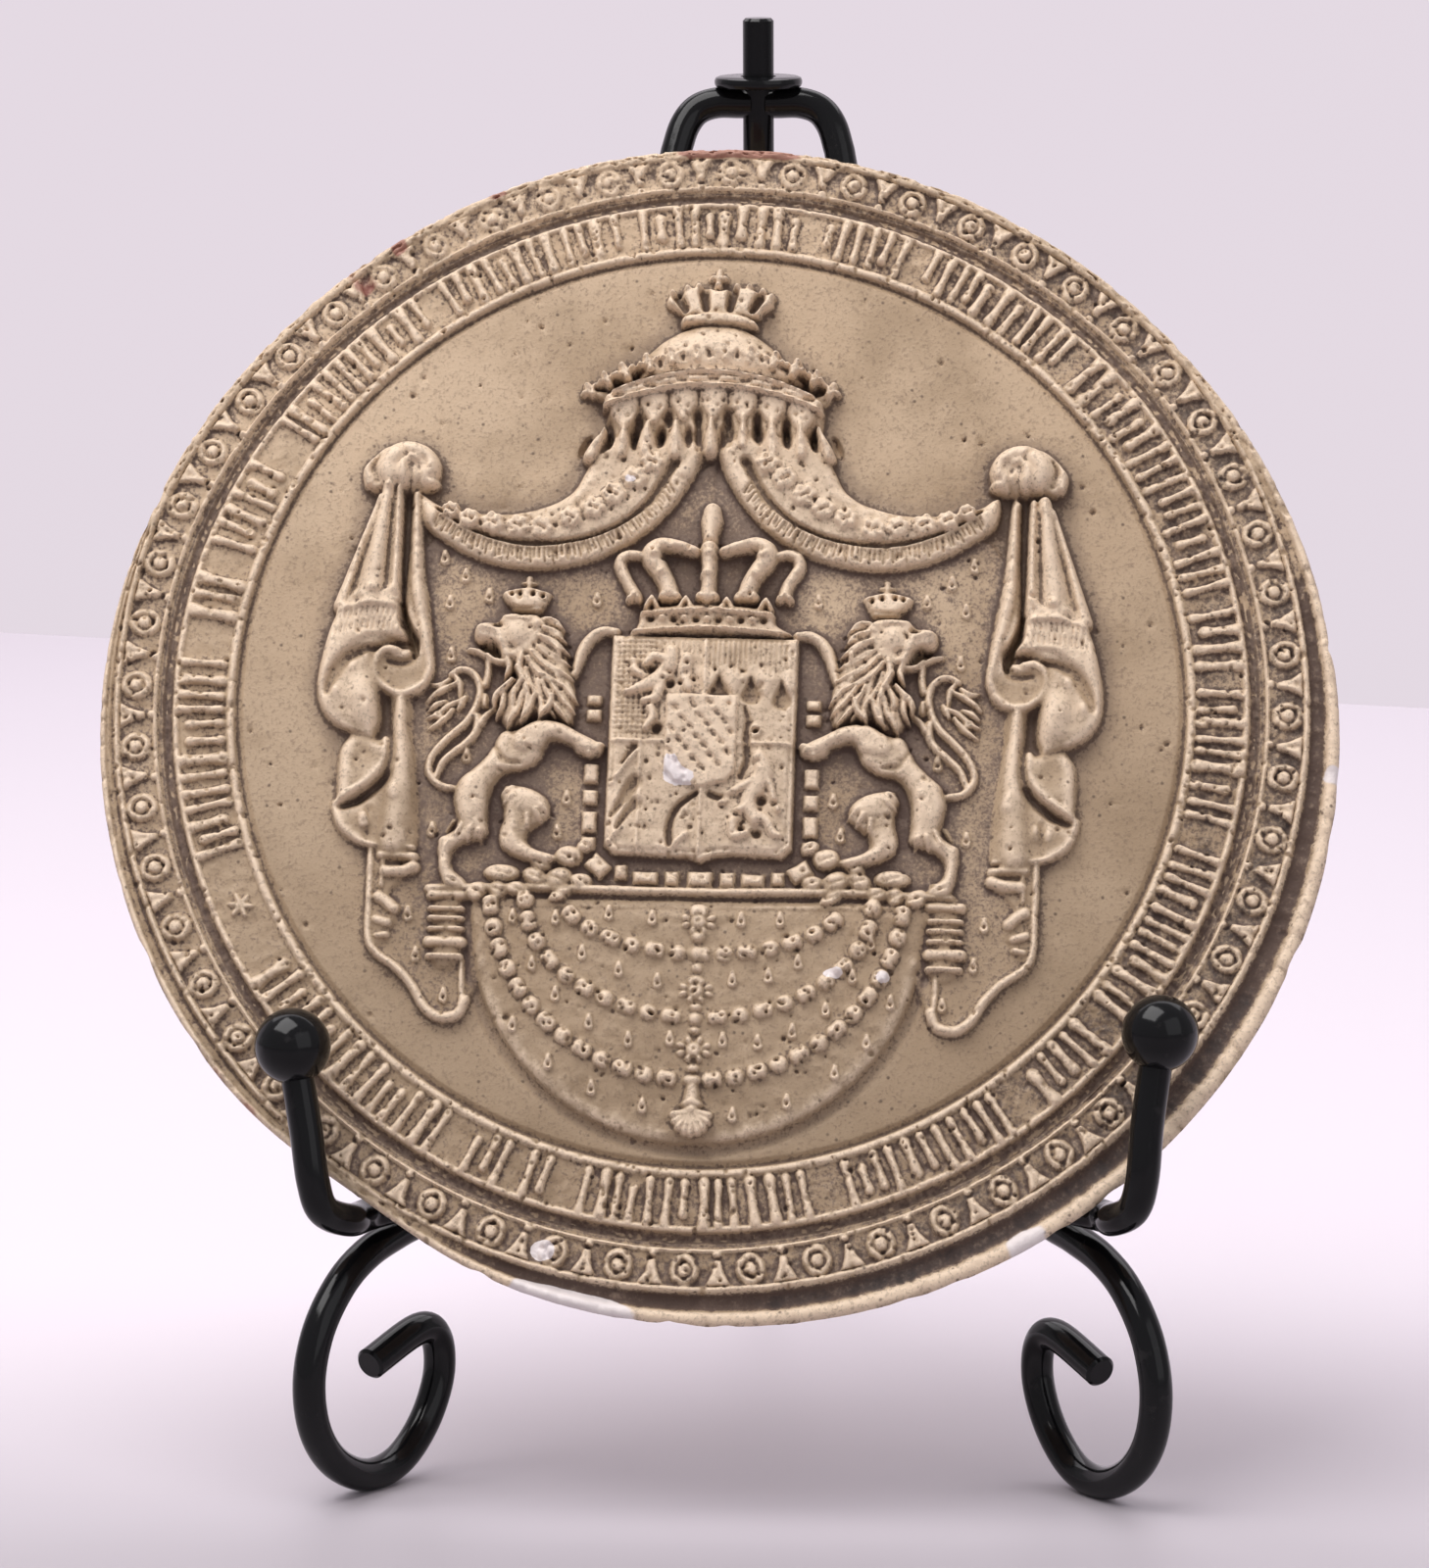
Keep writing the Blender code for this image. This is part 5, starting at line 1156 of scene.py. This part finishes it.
class Tone:
    # a shader socket that can be reckoned with
    def __init__(self, tree, socket):
        self.tree, self.socket = tree, socket

    def work(self, kind, *items):
        return addNode(self.tree, "ShaderNodeMath", {"operation": kind}, dict(enumerate(items)), 0)

    def __add__(self, other):
        return self.work("ADD", self, other)

    def __sub__(self, other):
        return self.work("SUBTRACT", self, other)

    def __rsub__(self, other):
        return self.work("SUBTRACT", other, self)

    def __mul__(self, other):
        return self.work("MULTIPLY", self, other)

    __radd__, __rmul__ = __add__, __mul__

    def step(self, low, high):
        values = {"Value": self, "From Min": low, "From Max": high}
        return addNode(self.tree, "ShaderNodeMapRange", {"interpolation_type": "SMOOTHSTEP"},
                       values, "Result")


def join(tree, slot, item):
    if isinstance(item, Tone):
        tree.links.new(item.socket, slot)
    elif isinstance(item, tuple) and len(item) == 3 and slot.type == "RGBA":
        slot.default_value = (*item, 1.0)
    else:
        slot.default_value = item


def addNode(tree, kind, settings, values, output):
    # the settings come first, because they decide which sockets there are
    made = tree.nodes.new(kind)
    for name, value in settings.items():
        setattr(made, name, value)
    for name, value in values.items():
        join(tree, made.inputs[name], value)
    return Tone(tree, made.outputs[output])


class Finish:
    # one material and its nodes
    def __init__(self, name):
        self.material = bpy.data.materials.new(name)
        self.material.use_nodes = True
        self.tree = self.material.node_tree
        self.surface = self.tree.nodes["Principled BSDF"]
        self.place = self.node("ShaderNodeTexCoord", {}, {}, "Object")

    def node(self, kind, settings, values, output):
        return addNode(self.tree, kind, settings, values, output)

    def attribute(self, name):
        return self.node("ShaderNodeAttribute", {"attribute_name": name}, {}, "Fac")

    def noise(self, scale, detail=3.0, rough=0.55):
        values = {"Vector": self.place, "Scale": scale, "Detail": detail, "Roughness": rough}
        return self.node("ShaderNodeTexNoise", {}, values, "Fac")

    def cells(self, scale):
        values = {"Vector": self.place, "Scale": scale}
        return self.node("ShaderNodeTexVoronoi", {}, values, "Distance")

    def along(self, axis):
        return self.node("ShaderNodeSeparateXYZ", {}, {"Vector": self.place}, axis)

    def mix(self, share, first, second):
        # the colours of the Mix node are its sockets 6 and 7, and its output 2
        values = {"Factor": share, 6: first, 7: second}
        return self.node("ShaderNodeMix", {"data_type": "RGBA"}, values, 2)

    def bump(self, height, strength, distance, under=None):
        values = {"Height": height, "Strength": strength, "Distance": distance}
        if under is not None:
            values["Normal"] = under
        return self.node("ShaderNodeBump", {}, values, "Normal")

    def set(self, **values):
        for name, value in values.items():
            slot = name.replace("_", " ")
            join(self.tree, self.surface.inputs[slot], value)


# Colours of the cast, from the bare body to the soot in its hollows; some of them also paint shade
# in the hollows, round the figures and towards the bottom
patinaAndShade = {
    "body": ((0.513, 0.373, 0.243), (0.626, 0.47, 0.319)),
    "drift": (0.285, 0.195, 0.112),
    # painted shade for the lower part of the cast
    "low": (0.25, 0.175, 0.105),
    "raised": (0.85, 0.675, 0.5),
    "grit": (0.17, 0.115, 0.075),
    # grime, and painted shade round the figures
    "grimeAndHaloShade": (0.175, 0.12, 0.085),
    # dark ground patina, also used as painted shade in hollows and near the figures
    "ground": (0.13, 0.088, 0.072),
    # patina and painted shade in the hollows
    "dirt": (0.085, 0.053, 0.042),
    "soot": (0.042, 0.034, 0.033),
    "pore": (0.08, 0.052, 0.036),
    "chip": (0.80, 0.73, 0.72),
    "wax": (0.28, 0.09, 0.07),
    "shadeFrom": (0.16, 0.03),  # heights in metres between which the cast grows darker, painted shade towards its bottom
}


def castFinish():
    look = Finish("castFinish")
    hollow, raised, shadeHalo = [look.attribute(n) for n in ("hollow", "raised", "shadeHalo")]
    ground, chip, wax = [look.attribute(n) for n in ("ground", "chip", "wax")]
    cloud, mottle, drift = look.noise(30), look.noise(230, 4), look.noise(70, 4, 0.6)
    grain, speck, dots = look.noise(2600, 3), look.noise(1300, 3, 0.7), look.cells(620)
    height = look.along("Z")
    pores = 1 - dots.step(0.05, 0.2)
    colour = look.mix(cloud.step(0.35, 0.68), *patinaAndShade["body"])
    colour = look.mix(drift.step(0.42, 0.7) * 0.5, colour, patinaAndShade["drift"])
    # painted shade: the cast grows darker towards its bottom
    colour = look.mix(height.step(*patinaAndShade["shadeFrom"]) * 0.68, colour, patinaAndShade["low"])
    colour = look.mix(raised * 0.85, colour, patinaAndShade["raised"])
    grit = (grain * 0.6 + speck - 0.8).step(0.0, 0.22)
    colour = look.mix(grit * 0.34, colour, patinaAndShade["grit"])
    # painted shade in a soft halo round the figures, broken up with grime
    grimeAndHaloShade = (shadeHalo + (drift - 0.5) * 0.6 + (speck - 0.5) * 0.8).step(0.0, 1.0)
    colour = look.mix(grimeAndHaloShade * 0.5, colour, patinaAndShade["grimeAndHaloShade"])
    # dark patina on the soiled ground, deepened as painted shade in the hollows and round the
    # figures
    deep = ground * (hollow * 0.9 + shadeHalo * 0.8 + 0.4) + (mottle - 0.5) * 0.9
    deep = (deep + (speck + grain - 1.0) * 1.3 - raised * 0.7).step(0.3, 1.2)
    colour = look.mix(deep * 0.74, colour, patinaAndShade["ground"])
    # patina in the hollows together with painted shade there
    hollowDirtAndShade = (hollow + (mottle - 0.5) * 0.5 + (speck + grain - 1.0) * 0.9).step(0.25, 0.95)
    colour = look.mix(hollowDirtAndShade * 0.76, colour, patinaAndShade["dirt"])
    black = (ground + (mottle - 0.5) * 0.9 + (speck - 0.5) * 0.8).step(1.3, 2.0)
    colour = look.mix(black * 0.8, colour, patinaAndShade["soot"])
    colour = look.mix(pores * mottle.step(0.43, 0.56) * 0.75, colour, patinaAndShade["pore"])
    pale = (chip + (mottle - 0.5) * 0.5).step(0.45, 0.55)
    colour = look.mix(pale * 0.94, colour, patinaAndShade["chip"])
    red = (wax + (mottle - 0.5) * 1.1).step(0.45, 0.7)
    colour = look.mix(red * 0.75, colour, patinaAndShade["wax"])
    rough = 0.6 + (grain - 0.5) * 0.18 + hollowDirtAndShade * 0.12 - raised * 0.06
    fine = look.bump(grain + speck * 1.5, 0.3, 0.00014)
    normal = look.bump(pores, 0.3, 0.0001, fine)
    look.set(Base_Color=colour, Roughness=rough, Normal=normal)
    look.surface.inputs["Specular IOR Level"].default_value = 0.35
    return look.material


def lacquerFinish():
    look = Finish("lacquerFinish")
    cloud, grain = look.noise(60), look.noise(1400, 2)
    dust = look.noise(420, 4).step(0.62, 0.75)
    colour = look.mix(cloud * 0.6, (0.004, 0.004, 0.0045), (0.008, 0.008, 0.009))
    colour = look.mix(dust * 0.2, colour, (0.05, 0.045, 0.045))
    rough = 0.1 + cloud * 0.06 + dust * 0.12
    normal = look.bump(grain + cloud, 0.1, 0.0001)
    look.set(Base_Color=colour, Roughness=rough, Normal=normal)
    look.surface.inputs["Specular IOR Level"].default_value = 0.24
    return look.material


# The easel in millimetres, with the shift that brings it under the cast
easel = {
    "wire": 2.0,              # half the bar's thickness
    "gap": 0.3,               # between pieces that are welded
    "eased": 0.35,            # round of the cut ends
    "flat": 0.2,              # how far the feet are flattened
    "junction": (4.5, 42.0, 168.2),    # where the three bars meet
    "spreadTop": 10.5,
    "knee": (3.8, -2.6, 39.0),
    "kneeSpread": 33.8,
    "kneeEase": 0.05,         # how far up the bar the bend begins
    "scrollCentre": (3.7, -12.0, 14.4),
    "scrollSpread": 42.2,
    "scrollTurn": 34.0,
    "ball": 4.55,
    "washer": (5.65, 1.4, 170.9),    # radius, thickness and height of its middle
    "top": 179.0,
    "backFoot": (3.9, 98.0),
    "shift": (-0.976, -34.671, 0.0),
}


def scrollPoint(side, forward, height):
    turn = math.radians(easel["scrollTurn"])
    cx, cy, cz = easel["scrollCentre"]
    x = cx + side * (easel["scrollSpread"] + forward * math.sin(turn))
    return (x, cy - forward * math.cos(turn), cz + height)


def legPath(side):
    jx, jy, jz = easel["junction"]
    kx, ky, kz = easel["knee"]
    start = easel["wire"] + easel["gap"]
    bend = [(jx + side * start, jy, jz), (jx + side * 5.4, jy, jz),
            (jx + side * 7.9, jy - 0.2, jz - 0.9), (jx + side * 9.5, jy - 0.9, jz - 3.0),
            (jx + side * easel["spreadTop"], jy - 2.0, jz - 6.2)]
    knee = [(kx + side * easel["kneeSpread"], ky, kz)]
    foot = [(-9.6, 20.0), (-7.0, 17.7), (-2.0, 16.7), (3.9, 15.1), (8.9, 12.2),
            (13.1, 7.2), (14.9, 1.2), (13.9, -4.9), (10.3, -9.6), (4.6, -12.3),
            (-1.4, -11.8), (-6.4, -8.0), (-9.3, -2.6), (-8.9, 2.2), (-5.4, 3.9),
            (3.9, 1.2)]
    lower = [scrollPoint(side, p, z) for p, z in foot]
    ease = easel["kneeEase"]
    above = tuple(k + (t - k) * ease for k, t in zip(knee[0], bend[-1]))
    rest = along([above] + knee + lower, 8)
    settle = min(point[2] for point in rest) - (easel["wire"] - easel["flat"])
    rest = [point - (0, 0, settle if point[2] < kz - 1 else 0) for point in rest]
    return along(bend, 6) + rest


def armPath(side):
    if side < 0:
        front = [(-47.4, -26.2, 51.5), (-46.5, -27.0, 46.2), (-45.7, -27.6, 40.6),
                 (-44.6, -26.7, 37.0), (-42.0, -22.6, 35.0), (-40.2, -16.0, 34.4)]
    else:
        front = [(53.5, -26.2, 53.8), (52.7, -27.0, 47.8), (52.2, -27.6, 41.8),
                 (51.2, -26.7, 38.0), (49.0, -22.6, 35.9), (47.8, -16.0, 35.0)]
    kx, ky, kz = easel["knee"]
    wire = easel["wire"]
    end = (kx + side * (easel["kneeSpread"] + 0.6), ky - wire * 2 - 0.5, kz - 2.2)
    before = (kx + side * (easel["kneeSpread"] + 2.6), ky - 9.0, kz - 3.0)
    return along(front + [before, end], 8)


def backPath():
    jx, jy, jz = easel["junction"]
    fx, fy = easel["backFoot"]
    top = (jx, jy - 0.1 * (easel["top"] - jz), easel["top"])
    lower = along([(jx, jy + 1.6, jz - 12), (jx, jy + 9, jz - 45), (jx - 0.2, jy + 26, jz - 96),
                   (fx, fy, -1.6)], 10)
    return [top, (jx, jy, jz)] + lower


def tube(name, path, radius, sides=28):
    # round bar along a path, with slightly eased ends and a flat where it stands
    pts = [Vector(p) for p in path]
    made = bmesh.new()
    turnAway = (pts[1] - pts[0]).normalized().orthogonal()
    loops = []
    eased = easel["eased"]
    spots = [(0, radius - eased)] + [(i, radius) for i in range(len(pts))]
    spots += [(len(pts) - 1, radius - eased)]
    for n, (i, r) in enumerate(spots):
        ahead = pts[min(i + 1, len(pts) - 1)] - pts[max(i - 1, 0)]
        ahead.normalize()
        turnAway = (turnAway - ahead * turnAway.dot(ahead)).normalized()
        beside = ahead.cross(turnAway)
        centre = pts[i]
        if n == 1:
            centre = pts[i] + ahead * eased
        if n == len(spots) - 2:
            centre = pts[i] - ahead * eased
        loop = []
        for k in range(sides):
            a = 2 * math.pi * k / sides
            spot = centre + (turnAway * math.cos(a) + beside * math.sin(a)) * r
            spot.z = max(spot.z, 0.0)
            loop.append(made.verts.new(spot * mm))
        loops.append(loop)
    for first, second in zip(loops[:-1], loops[1:]):
        for k in range(sides):
            j = (k + 1) % sides
            made.faces.new((first[k], first[j], second[j], second[k]))
    made.faces.new(loops[0][::-1])
    made.faces.new(loops[-1])
    bmesh.ops.recalc_face_normals(made, faces=made.faces)
    return addMade(name, made)


def addMade(name, made):
    mesh = bpy.data.meshes.new(name)
    made.to_mesh(mesh)
    made.free()
    mesh.transform(Matrix.Translation(Vector(easel["shift"]) * mm))
    mesh.polygons.foreach_set("use_smooth", [True] * len(mesh.polygons))
    mesh.set_sharp_from_angle(angle=math.radians(38))
    return addObject(name, mesh)


def ball(name, centre):
    made = bmesh.new()
    bmesh.ops.create_uvsphere(made, u_segments=48, v_segments=32, radius=easel["ball"] * mm)
    bmesh.ops.translate(made, verts=made.verts, vec=Vector(centre) * mm)
    return addMade(name, made)


def washer(name):
    radius, thick, height = easel["washer"]
    hole = easel["wire"] + easel["gap"]
    half = thick / 2
    ring = [(hole, half), (radius - 0.5, half), (radius - 0.15, half - 0.15),
            (radius, half - 0.5), (radius, 0.5 - half), (radius - 0.15, 0.15 - half),
            (radius - 0.5, -half), (hole, -half)]
    jx, jy, jz = easel["junction"]
    place = Matrix.Translation(Vector((jx, jy - 0.1 * (height - jz), height)))
    place = place @ Matrix.Rotation(math.radians(5.7), 4, "X")
    made = bmesh.new()
    loops = []
    for k in range(72):
        a = 2 * math.pi * k / 72
        loops.append([made.verts.new(place @ Vector((r * math.cos(a), r * math.sin(a), z)) * mm)
                      for r, z in ring])
    for k in range(72):
        first, second = loops[k], loops[(k + 1) % 72]
        for i in range(8):
            j = (i + 1) % 8
            made.faces.new((first[i], first[j], second[j], second[i]))
    bmesh.ops.recalc_face_normals(made, faces=made.faces)
    return addMade(name, made)


def placeEasel(material):
    # the bars run on into what they are welded to
    pieces = []
    bite = easel["gap"] + 0.7
    jx, jy, jz = easel["junction"]
    for name, side in (("left", -1), ("right", 1)):
        leg = legPath(side)
        leg[0] = np.array((jx + side * 0.6, jy, jz))
        pieces.append((tube(name + "LegBar", leg, easel["wire"]), name + "_leg"))
        path = armPath(side)
        rise = Vector(path[0]) - Vector(path[1])
        rise.normalize()
        start = Vector(path[0])
        path = [tuple(start + rise * (easel["ball"] * 0.4 + bite))] + path
        path[-1] = path[-1] + (path[-1] - path[-2]) / np.linalg.norm(path[-1] - path[-2]) * bite
        pieces.append((tube(name + "ArmBar", path, easel["wire"]), name + "_arm"))
        centre = start + rise * (easel["ball"] + easel["gap"] * 2)
        pieces.append((ball(name + "Knob", centre), name + "_ball"))
    pieces.append((tube("backLegBar", backPath(), easel["wire"]), "back_leg"))
    pieces.append((washer("washerRing"), "top_washer"))
    for piece, node in pieces:
        piece.data.materials.append(material)
        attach(piece, "root")
        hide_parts(node)
    print("easel built")


# The table ends on a slant, where the photo has its horizon, before a lit wall
stage = {
    "floor": ((-3, -2, 0), (3, -2, 0), (3, -0.508, 0), (-3, 2.383, 0)),
    "floorToneAndShade": ((0.735, 0.675, 0.735), (0.34, 0.312, 0.336)),    # far and near, the near one darker as painted shade towards the front
    "floorShadeTurns": (0.08, -0.15),
    "wall": ((-6, 2.6, -0.5), (6, 2.6, -0.5), (6, 2.6, 3), (-6, 2.6, 3)),
    "wallTones": ((0.76, 0.68, 0.75), (0.73, 0.66, 0.72)),
    "world": (0.9, 0.87, 0.92, 1),
    "worldStrength": 0.45,
}
# place, aim, size in metres, power in watts, colour
lamps = {
    "windowLight": ((-0.3, -0.28, 1.0), (0, 0, 0.09), (0.8, 0.8), 10.8, (1.0, 0.98, 0.98)),
    "fillLight": ((0.9, -1.0, 0.7), (0, 0, 0.08), (1.2, 1.2), 3.2, (0.97, 0.97, 1.0)),
    "farLight": ((0, 0.9, 1.3), (0, 0.9, 0), (2.4, 0.9), 12.7, (1.0, 0.97, 1.0)),
}
viewpoint = {
    "place": (0.02585, -0.63371, 0.15857),
    "turn": (83, 0, 2.5),     # degrees: 7 down from level, 2.5 to the side
    "lens": 113.26,
    "sensor": 36.0,
}


def addSheet(name, corners):
    mesh = bpy.data.meshes.new(name)
    mesh.from_pydata(corners, [], [(0, 1, 2, 3)])
    return addObject(name, mesh)


def placeStage():
    floor, wall = addSheet("floorSheet", stage["floor"]), addSheet("wallSheet", stage["wall"])
    table = Finish("tableFinish")
    # painted shade: the table darkens towards the front
    near = table.along("Y").step(*stage["floorShadeTurns"])
    table.set(Base_Color=table.mix(near, *stage["floorToneAndShade"]),
              Roughness=0.45 + table.noise(6, 2) * 0.1)
    floor.data.materials.append(table.material)
    back = Finish("wallFinish")
    glow = back.mix(back.noise(2, 2) * 0.4, *stage["wallTones"])
    back.set(Base_Color=(0.02, 0.02, 0.02), Roughness=0.9, Emission_Color=glow)
    back.surface.inputs["Emission Strength"].default_value = 1.0
    wall.data.materials.append(back.material)


def addLight(name, place, target, size, power, colour):
    light = bpy.data.lights.new(name, "AREA")
    light.shape = "RECTANGLE"
    light.size, light.size_y = size
    light.energy = power
    light.color = colour
    lamp = addObject(name, light)
    lamp.location = place
    lamp.rotation_euler = (Vector(target) - Vector(place)).to_track_quat("-Z", "Y").to_euler()


def placeLights():
    for name, values in lamps.items():
        addLight(name, *values)
    world = bpy.data.worlds.new("studioWorld")
    world.use_nodes = True
    background = world.node_tree.nodes["Background"]
    background.inputs["Color"].default_value = stage["world"]
    background.inputs["Strength"].default_value = stage["worldStrength"]
    bpy.context.scene.world = world


def placeCamera():
    camera = bpy.data.cameras.new("photoCamera")
    camera.lens = viewpoint["lens"]
    camera.sensor_width = viewpoint["sensor"]
    camera.clip_end = 20
    holder = addObject("photoCamera", camera)
    holder.location = viewpoint["place"]
    holder.rotation_euler = tuple(math.radians(d) for d in viewpoint["turn"])
    bpy.context.scene.camera = holder


def main():
    bpy.context.scene.view_settings.view_transform = "Standard"
    placeCast(castFinish())
    placeEasel(lacquerFinish())
    placeStage()
    placeLights()
    placeCamera()


main()
